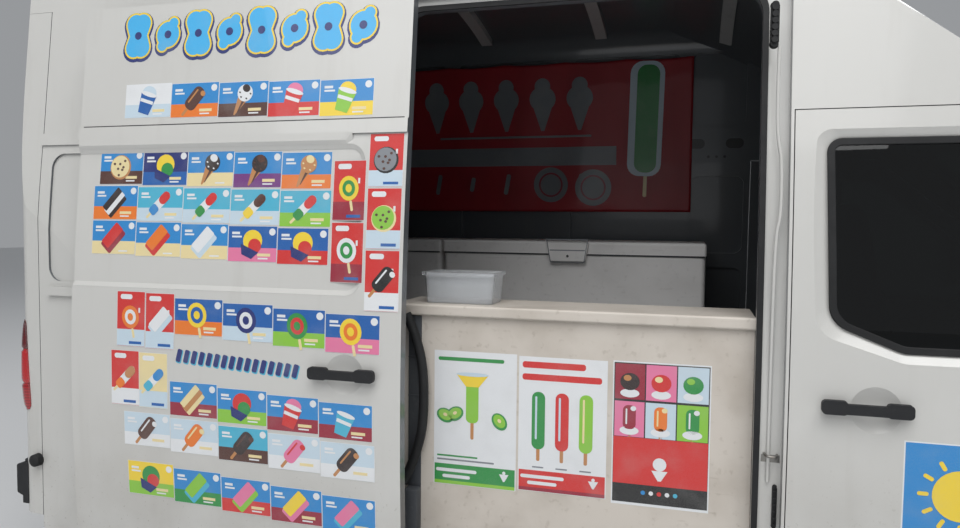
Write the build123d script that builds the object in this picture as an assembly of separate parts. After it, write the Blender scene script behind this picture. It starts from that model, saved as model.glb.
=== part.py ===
from build123d import *
from functools import lru_cache
from math import atan2, cos, degrees, radians, sin, tan
import os

# A high-roof panel van fitted out as an ice cream truck, in millimetres: +X forwards, +Y to the
# driver's side, +Z up from the ground. Stations along the van are measured rearwards from the rear
# seam of the front doors, which is where the body divides into cab and load space.
os.makedirs("parts", exist_ok=True)

# Lengths along the van
nose_to_seam = 2330.0
seam_to_tail = 3020.0
front_overhang = 1000.0
wheelbase = 3300.0
nose_x = (nose_to_seam + seam_to_tail) / 2
tail_x = -nose_x
seam_x = nose_x - nose_to_seam
front_axle_x = nose_x - front_overhang
rear_axle_x = front_axle_x - wheelbase
front_setback = 80.0
rear_setback = 45.0

# Body section
half_width = 995.0
sill_z = 335.0
belt_z = 1180.0
shoulder_z = 1973.0
eave_z = 2700.0
roof_z = 2790.0
sill_tuck = 26.0
shoulder_in = 62.0
upper_lean = 0.105
roof_corner_r = 170.0
tail_taper = 40.0
tail_corner_r = 60.0

# Nose, bonnet, windscreen and forehead
nose_bow = 170.0
nose_half = 930.0
nose_corner_r = 160.0
cowl_z = 1365.0
cowl_d = 690.0
screen_slope = 41.0
screen_r = 2600.0
forehead_r = 1500.0
bonnet_slope = 28.0
bonnet_crown = 84.0
bonnet_half = 800.0

# Walls
side_wall = 80.0
roof_wall = 55.0
front_wall = 40.0
tail_wall = 60.0
seam = 6.0
glass_t = 6.0
glass_sink = 5.0

# Floor, doors and openings
floor_z = 700.0
floor_t = 60.0
roof_seam_z = 2480.0
door_top_z = 1980.0
door_base_z = 420.0
pillar_back = 62.0
side_door_l = 1345.0
side_door_slide = 1208.0
side_door_lead = 15.0
side_door_proud = 122.0
side_door_top = 2430.0
side_door_base = 400.0
rebate_deep = 45.0
step_z = 480.0
tail_door_half = 783.0
tail_door_base = 706.0
tail_door_top = 2470.0
corner_post_l = 118.0
ledge_low = 1925.0
ledge_high = 1973.0
ledge_out = 8.0
recess_low = 1374.0
recess_high = 1890.0
recess_deep = 10.0
handle_z = 1092.0
dish_r, dish_deep = 66.0, 13.0
bevel_w, bevel_deep = 30.0, 16.0
pocket_deep = 24.0

# Nose pieces
bonnet_edge_z = 1262.0
bonnet_lip_z = 1014.0
grille_rows, grille_pitch = 6, 42.0
bumper_base = 270.0
bumper_top = 690.0
bumper_t = 50.0
lamp_low, lamp_high = 745.0, 1000.0
lens_t = 6.0
lamp_deep = 70.0
bulb_r = 9.0
fog_y, fog_z, fog_r = 660.0, 440.0, 52.0

# Wheels, springs and ladder frame
tyre_r = 387.0
tyre_w = 245.0
rim_r = 203.0
half_track = 855.0
hub_r = 30.0
running = 0.08
arch_r = 440.0
liner_r = 500.0
kingpin_y = 685.0
house_r = 436.0
step_y = -725.0
seat_base_z = 1000.0
wheel_z = tyre_r
rail_in, rail_out = 400.0, 460.0
rail_low, rail_high = 480.0, floor_z - floor_t
spring_half = 640.0
pin_r = 5.0
barrel_r = 10.0
hinge_gap = 0.08
front_hinge_y = half_width + 6
tail_hinge_x = tail_x + rear_setback - 12
tail_hinge_y = tail_door_half
bonnet_hinge_x = nose_x - cowl_d
bonnet_hinge_y = 640.0
bonnet_hinge_z = 1312.0
socket_r, socket_bore_r, socket_deep = 20.0, 10.0, 90.0
socket_y = 330.0

# Load space: freezers against the left wall, counter and shelf in the side door
freezer_front_y = 205.0
freezer_top = 1545.0
lid_t = 60.0
freezer_wall = 55.0
counter_y = -(half_width - 95)
counter_t = 18.0
shelf_top = 1335.0
shelf_t = 40.0
shelf_out, shelf_in = 20.0, 262.0
tub_flare = 4.0
seat_y = 480.0

both_sides = (("left", 1), ("right", -1))
parts = {}


def at(station):
    """X of a station measured rearwards from the front doors' rear seam."""
    return seam_x - station


def block(x0, x1, y0, y1, z0, z1):
    """Upright box between two corners, given in either order."""
    size = (abs(x1 - x0), abs(y1 - y0), abs(z1 - z0))
    return Pos((x0 + x1) / 2, (y0 + y1) / 2, (z0 + z1) / 2) * Box(*size)


def across(x, z, r, y0, y1):
    """Cylinder along Y."""
    length = abs(y1 - y0)
    return Pos(x, (y0 + y1) / 2, z) * Rot(90, 0, 0) * Cylinder(r, length)


def along(y, z, r, x0, x1):
    """Cylinder along X."""
    return Pos((x0 + x1) / 2, y, z) * Rot(0, 90, 0) * Cylinder(r, abs(x1 - x0))


def upright(x, y, r, z0, z1):
    """Cylinder along Z."""
    return Pos(x, y, (z0 + z1) / 2) * Cylinder(r, abs(z1 - z0))


def loop(points):
    """Face bounded by straight lines through the points."""
    ends = points[1:] + points[:1]
    return make_face([Line(a, b) for a, b in zip(points, ends)])


def rounded(face, radius, corners=None):
    """Face with its corners rounded, all of them or those at the given points."""
    chosen = face.vertices()
    if corners is not None:
        chosen = [chosen.sort_by_distance(Vector(*corner))[0] for corner in corners]
    return fillet(chosen, radius)


def plate(x0, x1, z0, z1, radius):
    """Upright rectangle with rounded corners, drawn as (x, z) or (y, z)."""
    return rounded(loop([(x0, z0), (x1, z0), (x1, z1), (x0, z1)]), radius)


def side_prism(face, y0, y1):
    """Prism across the van from an outline drawn as (x, z)."""
    plane = Plane(origin=(0, max(y0, y1), 0), x_dir=(1, 0, 0), z_dir=(0, -1, 0))
    return extrude(plane * face, amount=abs(y1 - y0))


def front_prism(face, x0, x1):
    """Prism along the van from an outline drawn as (y, z)."""
    return extrude(Plane.YZ.offset(min(x0, x1)) * face, amount=abs(x1 - x0))


def whole(shape):
    """The one solid of a shape, dropping crumbs under a thousandth of its volume."""
    solids = sorted(shape.solids(), key=lambda s: s.volume, reverse=True)
    kept = [s for s in solids if s.volume > solids[0].volume / 1000]
    result = Part() + kept[0]
    for other in kept[1:]:
        result += other
    return result


def body_section(side, roof):
    """Cross-section of the body, set in by a wall at the sides and the roof."""
    w = half_width - side
    corner_z = eave_z - roof
    corner_y = w - shoulder_in - (corner_z - shoulder_z) * upper_lean
    foot, shoulder, corner = (w - sill_tuck, sill_z), (w - shoulder_in, shoulder_z), (corner_y, corner_z)

    def left(point):
        return (-point[0], point[1])

    face = make_face(
        [
            Line(left(foot), foot),
            ThreePointArc(foot, (w, belt_z), shoulder),
            Line(shoulder, corner),
            ThreePointArc(corner, (0, roof_z - roof), left(corner)),
            Line(left(corner), left(shoulder)),
            ThreePointArc(left(shoulder), (-w, belt_z), left(foot)),
        ]
    )
    return rounded(face, roof_corner_r - side / 2, [corner, left(corner)])


def plan_outline(side, front, rear):
    """Outline from above: bowed nose, straight sides that taper towards the tail."""
    tip_x = nose_x - front_setback - front
    back_x = tail_x + rear_setback + rear
    half = half_width + 8 - side
    nose, waist = (tip_x - nose_bow, nose_half - side), (front_axle_x, half)
    hip, tail = (at(2350), half), (back_x, half - tail_taper)

    def right(point):
        return (point[0], -point[1])

    face = make_face(
        [
            ThreePointArc(right(nose), (tip_x, 0), nose),
            Line(nose, waist),
            Line(waist, hip),
            Line(hip, tail),
            Line(tail, right(tail)),
            Line(right(tail), right(hip)),
            Line(right(hip), right(waist)),
            Line(right(waist), right(nose)),
        ]
    )
    face = rounded(face, nose_corner_r, [nose, right(nose)])
    return rounded(face, tail_corner_r - rear / 2, [tail, right(tail)])


def bonnet_form(front):
    """Everything under the bonnet surface, a wide cylinder that rises towards the windscreen."""
    slope = radians(bonnet_slope)
    start_x = nose_x + 50
    top = cowl_z - (start_x - nose_x + cowl_d) * tan(slope) - front / cos(slope)
    wide, deep = half_width + 5, 4500.0
    face = make_face(
        [
            ThreePointArc((wide, -bonnet_crown), (0, 0), (-wide, -bonnet_crown)),
            Line((-wide, -bonnet_crown), (-wide, -deep)),
            Line((-wide, -deep), (wide, -deep)),
            Line((wide, -deep), (wide, -bonnet_crown)),
        ]
    )
    rising = Plane(origin=(start_x, 0, top), x_dir=(0, -1, 0), z_dir=(-cos(slope), 0, sin(slope)))
    return extrude(rising * face, amount=(nose_to_seam + seam_to_tail) * 1.25)


def cab_form(roof, front):
    """Windscreen cone and forehead turned about an upright axis, with the whole load space behind."""
    slope = radians(screen_slope)
    axis_x = nose_x - cowl_d - screen_r
    top = roof_z + 2 - roof
    low = sill_z - 5

    def reach(z):
        return screen_r - front / sin(slope) - (z - cowl_z) / tan(slope)

    face = loop([(0, low), (reach(low), low), (reach(top), top), (0, top)])
    face = rounded(face, forehead_r - front, [(reach(top), top)])
    plane = Plane(origin=(axis_x, 0, 0), x_dir=(1, 0, 0), z_dir=(0, -1, 0))
    dome = revolve(plane * face, Axis((axis_x, 0, 0), (0, 0, 1)), 360)
    return dome + block(axis_x, tail_x - 50, -half_width * 1.2, half_width * 1.2, low, roof_z + 400)


@lru_cache(maxsize=None)
def envelope(side=0.0, roof=0.0, front=0.0, rear=0.0):
    """Closed outer form of the body with its faces set in."""
    length = nose_to_seam + seam_to_tail
    tube = extrude(Plane.YZ.offset(tail_x - 10) * body_section(side, roof), amount=length + 20)
    column = extrude(Pos(0, 0, sill_z - 5) * plan_outline(side, front, rear), amount=roof_z)
    return (tube & column) & (cab_form(roof, front) + bonnet_form(front))


outer = envelope()
inner = envelope(side_wall, roof_wall, front_wall, tail_wall)
shell = outer - inner
ledge_skin = envelope(side=-ledge_out) - outer
glass_face = envelope(*4 * [glass_sink])
glass_skin = glass_face - envelope(*4 * [glass_sink + glass_t])
door_pane = envelope(*4 * [bevel_deep - 2]) - envelope(*4 * [bevel_deep - 2 + glass_t])

# Outlines of the doors and windows, in side view as (x, z)
screen_run = 1 / tan(radians(screen_slope))
pillar_run = 1.22
pillar_foot_d = 972.0
door_nose_d = 1180.0
window_base = 1254.0
window_top = 1890.0


def pillar_x(z, back=0.0):
    """X of the front edge of a cab door where it follows the windscreen pillar."""
    return nose_x - pillar_foot_d - back - (z - cowl_z) * pillar_run


def door_outline(gap):
    """Cab door in side view, smaller by the gap all round."""
    front = nose_x - door_nose_d - gap
    bend_z = cowl_z + (door_nose_d - pillar_foot_d) / pillar_run
    return loop(
        [
            (seam_x + gap, door_base_z + gap),
            (front, door_base_z + gap),
            (front, bend_z - gap / 2),
            (pillar_x(door_top_z - gap, gap * 1.3), door_top_z - gap),
            (seam_x + gap, door_top_z - gap),
        ]
    )


def window_outline(grow):
    """Cab door window, whose sill steps down towards the front and whose back edge leans forwards."""
    back_x, front_x = at(-93) - grow, nose_x - door_nose_d - 85 + grow
    bend_z = cowl_z + (door_nose_d - pillar_foot_d) / pillar_run - 20
    points = [
        (back_x, window_top + grow),
        (pillar_x(window_top + grow, 85 - grow * 1.3), window_top + grow),
        (front_x, bend_z),
        (front_x, window_base - grow),
        (at(-310), window_base - grow),
        (back_x + 16, 1335 - grow),
    ]
    return rounded(rounded(loop(points), 80, points[4:]), 42, points[:4])


side_door_x1 = at(side_door_lead)
side_door_x0 = side_door_x1 - side_door_l
opening_x1 = at(pillar_back + 30)
opening_x0 = side_door_x0 + 45
opening_base = floor_z
opening_top = side_door_top - 50
slid_open = Pos(side_door_lead - side_door_slide, -side_door_proud, 0)


def ahead(form, y, z):
    """X of the foremost face of a form at a place in front view."""
    return (form & along(y, z, 2, 0, nose_x + 20)).bounding_box().max.X


def skin_y(x, z):
    """Y of the left side's skin at a place in side view."""
    return (outer & across(x, z, 2, 0, half_width + 20)).bounding_box().max.Y


def window_bevel(side):
    """Slanted edge round a cab door's window, a loft that leans with the door."""
    low_y, high_y = skin_y(at(-600), window_base), skin_y(at(-600), window_top)
    lean = degrees(atan2(low_y - high_y, window_top - window_base))
    centre = Pos(0, (low_y + high_y) / 2, (window_base + window_top) / 2)
    view = Plane(origin=(0, 0, 0), x_dir=(1, 0, 0), z_dir=(0, -1, 0))
    wide, narrow = view.offset(-8) * window_outline(bevel_w * 1.5), view.offset(bevel_deep) * window_outline(1)
    form = centre * Rot(lean, 0, 0) * Pos(0, 0, -centre.position.Z) * loft([wide, narrow], ruled=True)
    return form if side == 1 else mirror(form, about=Plane.XZ)


def handle_dish(x, z, side):
    """Round hollow behind a handle, cut by a large sphere."""
    sphere_r = (dish_r**2 + dish_deep**2) / (2 * dish_deep)
    return Pos(x, side * (half_width + sphere_r - dish_deep), z) * Sphere(sphere_r)


def wall_pockets(side, bays):
    """Stamped fields between the ribs of the load space's wall, above and below its belt rail."""
    depth = envelope(side=side_wall - pocket_deep, roof=roof_wall, front=front_wall, rear=tail_wall) - inner
    fields = Part()
    for start, end in bays:
        for low, high in ((820, 1400), (1480, 1900), (2160, 2550)):
            fields += side_prism(plate(at(end), at(start), low, high, 45), side * 500, side * half_width)
    return fields & depth


left_bays = ((30, 310), (370, 970), (1030, 1630), (1690, 2290), (2350, 2850))
right_bays = ((1440, 1860), (1920, 2340), (2400, 2850))


def arch(axle_x, radius, y0, y1):
    return across(axle_x, wheel_z, radius, y0, y1)


def solid_floor():
    """Floor from the toe board to the rear sill, with wheel houses, side step and seat pedestals."""
    half, under = half_width, floor_z - floor_t
    back_x, toe_x, front_x = tail_x + rear_setback + tail_wall, nose_x - 1020, nose_x - 790
    deck = block(back_x, toe_x, -half, half, under, floor_z)
    toe = loop([(toe_x, under), (toe_x, floor_z), (front_x, 860), (front_x, 820), (toe_x + 60, under)])
    deck += side_prism(toe, -half, half)
    deck -= block(opening_x0, opening_x1, -half, step_y, under, floor_z)
    deck += block(opening_x0, opening_x1, -half, step_y, step_z - 30, step_z)
    deck += block(opening_x0, opening_x1, step_y, step_y + 30, step_z - 30, floor_z)
    for side in (1, -1):
        tyre_room = arch(rear_axle_x, house_r, side * 698, side * half)
        house = arch(rear_axle_x, house_r + 8, side * 690, side * half)
        house &= block(rear_axle_x - 600, rear_axle_x + 600, -half, half, under, 900)
        deck = deck + house - tyre_room
        deck -= arch(front_axle_x, liner_r + 6, side * 494, side * half)
        y = side * seat_y
        deck += block(at(-280), at(-700), y - 190, y + 190, floor_z, seat_base_z)
    beside_doors = block(at(0), nose_x, -half, half, sill_z, roof_z)
    deck = (deck & inner) - (beside_doors - envelope(side_wall + 5, roof_wall, front_wall, tail_wall))
    sill_half = tail_door_half - seam
    deck += shell & block(tail_x, back_x, -sill_half, sill_half, floor_z - 100, tail_door_base - seam)
    return whole(deck)


def chassis_frame():
    """Ladder frame: two rails joined by cross members, cut off at the bumper's inner face."""
    frame = Part()
    for side in (1, -1):
        frame += block(tail_x + rear_setback, nose_x, side * rail_in, side * rail_out, rail_low, rail_high)
    members = (nose_x - 240, at(-300), rear_axle_x + spring_half, rear_axle_x - spring_half, tail_x + 140)
    for x in members:
        frame += block(x - 35, x + 35, -rail_out, rail_out, rail_low + 20, rail_high - 40)
    room = extrude(bumper_plan(bumper_t), amount=2000)
    room += block(tail_x, front_axle_x + 340, -900, 900, 0, 2000)
    frame -= block(tail_x, tail_x + rear_setback + tail_wall, -500, 500, floor_z - 100, floor_z)
    frame = frame & room
    front_tube, front_bore = tow_socket(nose_x - 230, nose_x - 55, -socket_y, 560)
    rear_tube, rear_bore = tow_socket(tail_x + 140, tail_x + 30, socket_y, 540)
    return whole(frame + front_tube + rear_tube - front_bore - rear_bore)


def side_panel(side):
    """Body side from the cab door's seam to the corner post, below the roof seam."""
    post_x = tail_x + rear_setback + corner_post_l
    panel = shell & block(at(0), post_x, side * 300, side * 1200, sill_z, roof_seam_z)
    panel += ledge_skin & block(at(pillar_back), post_x, side * 300, side * 1200, ledge_low, ledge_high)
    panel -= arch(rear_axle_x, arch_r, side * 500, side * 1100)
    return whole(panel)


def recess_cut(x0, x1, side, skin):
    """Stamped field below the ledge, as deep as the recess."""
    face = plate(x0, x1, recess_low, recess_high, 60)
    return side_prism(face, side * 500, side * 1200) & (skin - envelope(side=recess_deep))


def right_side():
    panel = side_panel(-1)
    doorway = plate(opening_x0, opening_x1, step_z, opening_top, 90)
    panel -= side_prism(doorway, -500, -1200)
    base, top = side_door_base - seam, side_door_top + seam
    rebate = plate(side_door_x0 - seam, side_door_x1 + seam, base, top, 60)
    panel -= side_prism(rebate, -500, -1200) - envelope(side=rebate_deep, roof=rebate_deep)
    panel -= recess_cut(at(2803), side_door_x0 - 200, -1, outer)
    return whole(panel - wall_pockets(-1, right_bays))


def left_side():
    panel = side_panel(1)
    panel -= recess_cut(at(2803), at(1420), 1, outer)
    panel -= recess_cut(at(1340), at(130), 1, outer)
    flap = plate(at(240), at(60), 880, 1060, 24)
    flap_seam = side_prism(flap, 500, 1200) - side_prism(offset(flap, -3), 500, 1200)
    panel -= flap_seam & (outer - envelope(side=4))
    return whole(panel - wall_pockets(1, left_bays))


def side_door():
    """Sliding door, drawn closed and then set back and out on its rail."""
    prism = side_prism(plate(side_door_x0, side_door_x1, side_door_base, side_door_top, 55), -500, -1200)
    leaf = (outer - envelope(side=42, roof=42)) & prism
    plug = plate(opening_x0 + 8, opening_x1 - 8, step_z + 8, opening_top - 8, 84)
    leaf += (envelope(side=30, roof=30) - envelope(side=72, roof=72)) & side_prism(plug, -500, -1200)
    leaf += (ledge_skin & prism) & block(side_door_x0, side_door_x1, -500, -1200, ledge_low, ledge_high)
    leaf -= recess_cut(side_door_x0 - 80, side_door_x1 - 150, -1, outer)
    leaf -= handle_dish(side_door_x1 - 203, handle_z + 18, -1)
    return slid_open * whole(leaf)


def cab_door(side):
    """Front door with its window cut."""
    leaf = shell & side_prism(door_outline(seam / 2), side * 300, side * 1200)
    leaf -= side_prism(window_outline(0), side * 300, side * 1200)
    leaf -= arch(front_axle_x, arch_r + 22, side * 500, side * 1100)
    leaf -= handle_dish(at(-240), handle_z - 4, side)
    return whole(leaf - window_bevel(side))


def cab_glass(side):
    """Side glass, sunk to the foot of the slanted edge round it."""
    return whole(door_pane & side_prism(window_outline(0), side * 300, side * 1200))


screen_face = rounded(loop([(-790, cowl_z + 48), (790, cowl_z + 48), (700, 2030), (-700, 2030)]), 70)


def screen_prism():
    return front_prism(screen_face, at(-200), nose_x) & block(at(-200), nose_x, -900, 900, 1300, 2200)


def high_roof():
    """Roof panel from the forehead to the tail with the sides above the cab doors."""
    cap = shell & block(tail_x - 10, nose_x, -1200, 1200, roof_seam_z, roof_z + 10)
    brow = shell & block(at(0), nose_x, -1200, 1200, door_top_z, roof_seam_z + 1)
    cap = cap + brow
    cap -= screen_prism()
    lintel_x = tail_x + rear_setback + tail_wall + 8
    cap -= block(tail_x, lintel_x, -tail_door_half, tail_door_half, 0, tail_door_top)
    for y in (-540, -180, 180, 540):
        cap -= extrude(Pos(at(1500), y, 2600) * SlotOverall(2300, 44), amount=300) - envelope(roof=6)
    cap -= wall_pockets(1, left_bays) + wall_pockets(-1, ((100, 640), (700, 1280), *right_bays))
    return whole(cap)


def cab_frame():
    """Windscreen pillars, cowl, sills and bulkhead that carry the cab doors and wings."""
    zone = block(at(0), nose_x - 640, -1200, 1200, sill_z, door_top_z)
    frame = shell & zone
    for side in (1, -1):
        frame -= side_prism(door_outline(-seam / 2), side * 300, side * 1200)
        frame -= block(nose_x, nose_x - door_nose_d, side * 300, side * 1200, 0, bonnet_edge_z)
        frame -= arch(front_axle_x, arch_r + 22, side * 500, side * 1100)
    frame -= block(nose_x, nose_x - cowl_d - 30, -1200, 1200, 0, cowl_z + 400)
    frame -= screen_prism()
    frame -= block(nose_x, nose_x - cowl_d - 45, -bonnet_half - seam, bonnet_half + seam, 0, cowl_z + 400)
    bulkhead = block(nose_x - 790, nose_x - 760, -1000, 1000, rail_high, cowl_z + 60) & inner
    bulkhead -= arch(front_axle_x, liner_r + 6, 494, 1000) + arch(front_axle_x, liner_r + 6, -494, -1000)
    return whole(frame + bulkhead)


def bonnet():
    slab = (outer - envelope(side_wall, roof_wall, 25, tail_wall)) & block(
        nose_x - cowl_d + 8, nose_x, -bonnet_half, bonnet_half, bonnet_lip_z, cowl_z + 60
    )
    return whole(slab)


def wing(side):
    """Front wing from the headlamp to the cab door, with the wheel arch cut."""
    rear_x = nose_x - door_nose_d + seam / 2
    panel = shell & block(rear_x, nose_x, side * 560, side * 1200, sill_z + 110, bonnet_edge_z - 2)
    panel -= block(nose_x - cowl_d - 30, nose_x, -bonnet_half - seam, bonnet_half + seam, 1000, 1500)
    panel -= arch(front_axle_x, arch_r, side * 500, side * 1100)
    panel -= lamp_prism(side, 0)
    panel -= block(nose_x, front_axle_x + 200, side * 300, side * 1200, 0, bumper_top)
    return whole(panel)



def lamp_prism(side, grow):
    """Headlamp outline from the front, leaning up and outwards."""
    inboard, outboard = (545 - grow, 600 - grow), 960 + grow
    points = [(inboard[0], lamp_low - grow), (outboard, lamp_low + 30)]
    points += [(outboard, lamp_high + 150), (inboard[1], lamp_high + grow)]
    face = rounded(loop([(side * y, z) for y, z in points]), 40)
    return front_prism(face, nose_x - 330, nose_x)


def lamp_zone(side):
    """Room that a headlamp fills between the bonnet, the wing and the grille."""
    zone = lamp_prism(side, 0) & block(nose_x - 330, nose_x, side * 500, side * 1200, 0, bonnet_edge_z - 2)
    return zone - block(nose_x - 900, nose_x, -bonnet_half - seam, bonnet_half + seam, 1000, 1500)


def headlamp(side):
    """Clear cover that continues the curve of wing and nose."""
    return whole((outer - envelope(lens_t, 0, lens_t, 0)) & lamp_zone(side))


def headlamp_housing(side):
    """Housing behind the cover, with a bowl and a bulb for each beam and a long indicator below."""
    form = (envelope(lens_t, 0, lens_t, 0) - envelope(lamp_deep, 0, lamp_deep, 0)) & lamp_zone(side)
    for y, z, bowl_r in ((650, 885, 74), (806, 925, 60)):
        mouth = ahead(outer, y, z) - lens_t
        form -= Pos(mouth + 18, side * y, z) * Sphere(bowl_r)
        bulb = along(side * y, z, bulb_r, mouth - lamp_deep + 6, mouth - 30)
        form += bulb + Pos(mouth - 30, side * y, z) * Sphere(bulb_r)
    lane = Pos(ahead(outer, 720, 790) - lens_t, side * 715, 789) * Rot(0, 0, -side * 12) * Box(34, 210, 30)
    return whole(form - lane)


def grille():
    """Nose panel between the headlamps with its slats."""
    face = loop([(-560, bumper_top), (560, bumper_top), (545, 1008), (-545, 1008)])
    panel = shell & front_prism(face, nose_x - 400, nose_x)
    panel -= lamp_prism(1, 2) + lamp_prism(-1, 2)
    for row in range(grille_rows):
        low = 744 + row * grille_pitch
        for side in (1, -1):
            slot = plate(side * 12, side * (484 - row * 3), low, low + grille_pitch - 14, 8)
            panel -= front_prism(slot, nose_x - 400, nose_x)
    return whole(panel)


def bumper_plan(inset):
    half, tip, back = half_width - 4 - inset, nose_x - inset, front_axle_x + 330
    face = make_face(
        [
            ThreePointArc((tip - 150, -half + 40), (tip, 0), (tip - 150, half - 40)),
            Line((tip - 150, half - 40), (back, half)),
            Line((back, half), (back, -half)),
            Line((back, -half), (tip - 150, -half + 40)),
        ]
    )
    return rounded(face, 150 - inset, [(tip - 150, half - 40), (tip - 150, -half + 40)])


def front_bumper():
    form = extrude(Pos(0, 0, bumper_base) * bumper_plan(0), amount=bumper_top - bumper_base - 2)
    core = extrude(Pos(0, 0, bumper_base - 1) * bumper_plan(bumper_t), amount=bumper_top)
    form -= core
    brim = extrude(Pos(0, 0, bumper_top - 22) * bumper_plan(0), amount=20)
    form += brim - envelope(front_wall, 0, front_wall, 0)
    for side in (1, -1):
        form -= arch(front_axle_x, arch_r, side * 450, side * 1100)
    form -= block(nose_x - 800, front_axle_x + 330, -1100, 1100, 0, 900)
    for row in range(3):
        low = 348 + row * 52
        intake = plate(-430 - row * 14, 430 + row * 14, low, low + 38, 12)
        form -= front_prism(intake, nose_x - 300, nose_x + 5)
    for side in (1, -1):
        form -= along(side * fog_y, fog_z, fog_r + 20, fog_x(), nose_x + 5)
    form -= along(-socket_y, 560, socket_r + 4, nose_x - 300, nose_x + 5)
    return whole(form)


def fog_x():
    """X of the floor of the fog lamps' pockets in the bumper."""
    return ahead(extrude(bumper_plan(0), amount=bumper_top), fog_y, fog_z) - 26


def fog_lamp(side):
    lens = along(side * fog_y, fog_z, fog_r, fog_x(), fog_x() + 16)
    return fillet(lens.edges().group_by(Axis.X)[-1], 7)


def wipers():
    """Two wipers at rest across the foot of the windscreen, their pivots on the cowl."""
    pair = Part()
    near, far = envelope(front=-12), envelope(front=-24)
    for y in (600, -60):
        z = cowl_z + 30
        arm = loop([(y, z - 11), (y, z + 13), (y - 380, z + 78), (y - 380, z + 64)])
        blade = loop([(y - 90, z + 52), (y - 90, z + 64), (y - 640, z + 88), (y - 640, z + 78)])
        pair += front_prism(arm, at(-900), nose_x) & (far - near)
        pair += (front_prism(blade, at(-900), nose_x) & envelope(front=-14)) - glass_face
        pair += (along(y, z, 17, at(-900), nose_x) & far) - outer
    return pair


def windscreen():
    return whole(glass_skin & screen_prism())


def arch_liners():
    """Half drum over each front wheel with an inner wall, wide enough for the steered tyre."""
    liners = Part()
    for side in (1, -1):
        drum = arch(front_axle_x, liner_r + 6, side * 494, side * 1000)
        drum -= arch(front_axle_x, liner_r, side * 500, side * 1001)
        drum &= block(front_axle_x - 600, front_axle_x + 600, side * 480, side * 1000, wheel_z + 150, 1000)
        liners += drum & inner
    return liners


def corner_post(side):
    """Rear corner of the body, which carries the tail lamp and the door hinges."""
    post_x = tail_x + rear_setback + corner_post_l - seam / 2
    post = shell & block(tail_x - 5, post_x, side * tail_door_half, side * 1200, sill_z + 60, roof_seam_z - 1)
    post -= tail_lamp_zone(side)
    return whole(post)


tail_lamp_low, tail_lamp_high = 830.0, 1205.0


def tail_lamp_zone(side):
    x, low, high = tail_x + rear_setback, tail_lamp_low, tail_lamp_high
    outline = loop([(x - 30, low), (x + 62, low), (x + 38, high), (x - 30, high)])
    prism = side_prism(rounded(outline, 26), side * 800, side * 1200)
    return prism & block(x - 30, x + 70, side * 862, side * 1200, 0, 2000)


def tail_lamp(side):
    """Upright lamp, divided by grooves into stop, turn and reversing lights."""
    proud = envelope(side=-3, rear=-3)
    form = (proud - inner) & tail_lamp_zone(side)
    rind = proud - envelope(side=2, rear=2)
    for low in (940, 1082):
        form -= rind & block(tail_x - 10, tail_x + 200, -1200, 1200, low, low + 6)
    return whole(form)


def tail_door(side):
    """One leaf of the rear doors, half the opening wide."""
    front, back = tail_x + 400, tail_x - 5
    meeting, hinged = side * seam / 2, side * (tail_door_half - seam)
    leaf = shell & block(back, front, meeting, hinged, tail_door_base, tail_door_top - seam)
    field = front_prism(plate(side * 80, side * 690, 770, 1250, 50), back, front)
    leaf -= field & (outer - envelope(rear=8))
    if side == 1:
        number_plate = front_prism(plate(110, 660, 1010, 1150, 18), back, front)
        leaf -= number_plate & (outer - envelope(rear=20))
    return whole(leaf - tail_window(side))


def tail_window(side):
    points = [(side * 150, 1330), (side * 650, 1330), (side * 620, 1950), (side * 150, 1950)]
    return front_prism(rounded(loop(points), 60), tail_x - 5, tail_x + 400)


def tail_glass(side):
    return whole(glass_skin & tail_window(side))


def rear_bumper():
    back = tail_x + rear_setback
    form = block(tail_x, back + 30, -930, 930, 420, floor_z - 102)
    form = fillet(form.edges().filter_by(Axis.Z).group_by(Axis.X)[0], 40)
    for side in (1, -1):
        form += block(back, back + 30, side * 700, side * 962, 430, floor_z - 102)
    return whole(form - outer - along(socket_y, 540, socket_r, tail_x - 5, tail_x + 200))


def hinge(axis, length=40.0, knuckle=18.0):
    """Barrel hinge on an axis: a pin with a knuckle at each end, a sleeve between, and the room they need."""
    reach = length / 2 + 1 + knuckle
    fixed = Cylinder(pin_r, 2 * reach)
    for end in (1, -1):
        fixed += Pos(0, 0, end * (reach - knuckle / 2)) * Cylinder(barrel_r, knuckle)
    moving = Cylinder(barrel_r, length) - Cylinder(pin_r + hinge_gap, length + 2)
    return axis * fixed, axis * moving, axis * Cylinder(barrel_r + 6, 2 * reach + 12)


def clear_of(shape, rooms):
    """Shape with each of the rooms cut out in turn."""
    for room in rooms:
        shape -= room
    return shape


def upright_hinges(axis_x, axis_y, heights, tab):
    """Upright hinges. tab(sign, low, high) is the leaf that joins a barrel to the body (+1) or door (-1)."""
    stays, swings, rooms = Part(), Part(), []
    for z in heights:
        fixed, moving, room = hinge(Pos(axis_x, axis_y, z))
        for end in (1, -1):
            fixed += tab(1, z + end * 30 - 9, z + end * 30 + 9)
        moving += tab(-1, z - 20, z + 20) - upright(axis_x, axis_y, pin_r + hinge_gap, z - 30, z + 30)
        stays, swings = stays + fixed, swings + moving
        rooms.append(room)
    return stays, swings, rooms


def bonnet_hinges():
    """Two hinges across the van at the bonnet's rear corners, kept under its skin."""
    stays, swings, rooms = Part(), Part(), []
    x, z = bonnet_hinge_x, bonnet_hinge_z
    for side in (1, -1):
        y = side * bonnet_hinge_y
        fixed, moving, room = hinge(Pos(x, y, z) * Rot(90, 0, 0))
        for end in (1, -1):
            fixed += block(x - 62, x, y + end * 21, y + end * 39, z - 6, z + 6)
        moving += block(x, x + 40, y - 20, y + 20, z - 6, z + 6)
        moving -= across(x, z, pin_r + hinge_gap, y - 30, y + 30)
        stays, swings = stays + fixed, swings + moving
        rooms.append(room)
    return stays, swings, rooms


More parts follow.
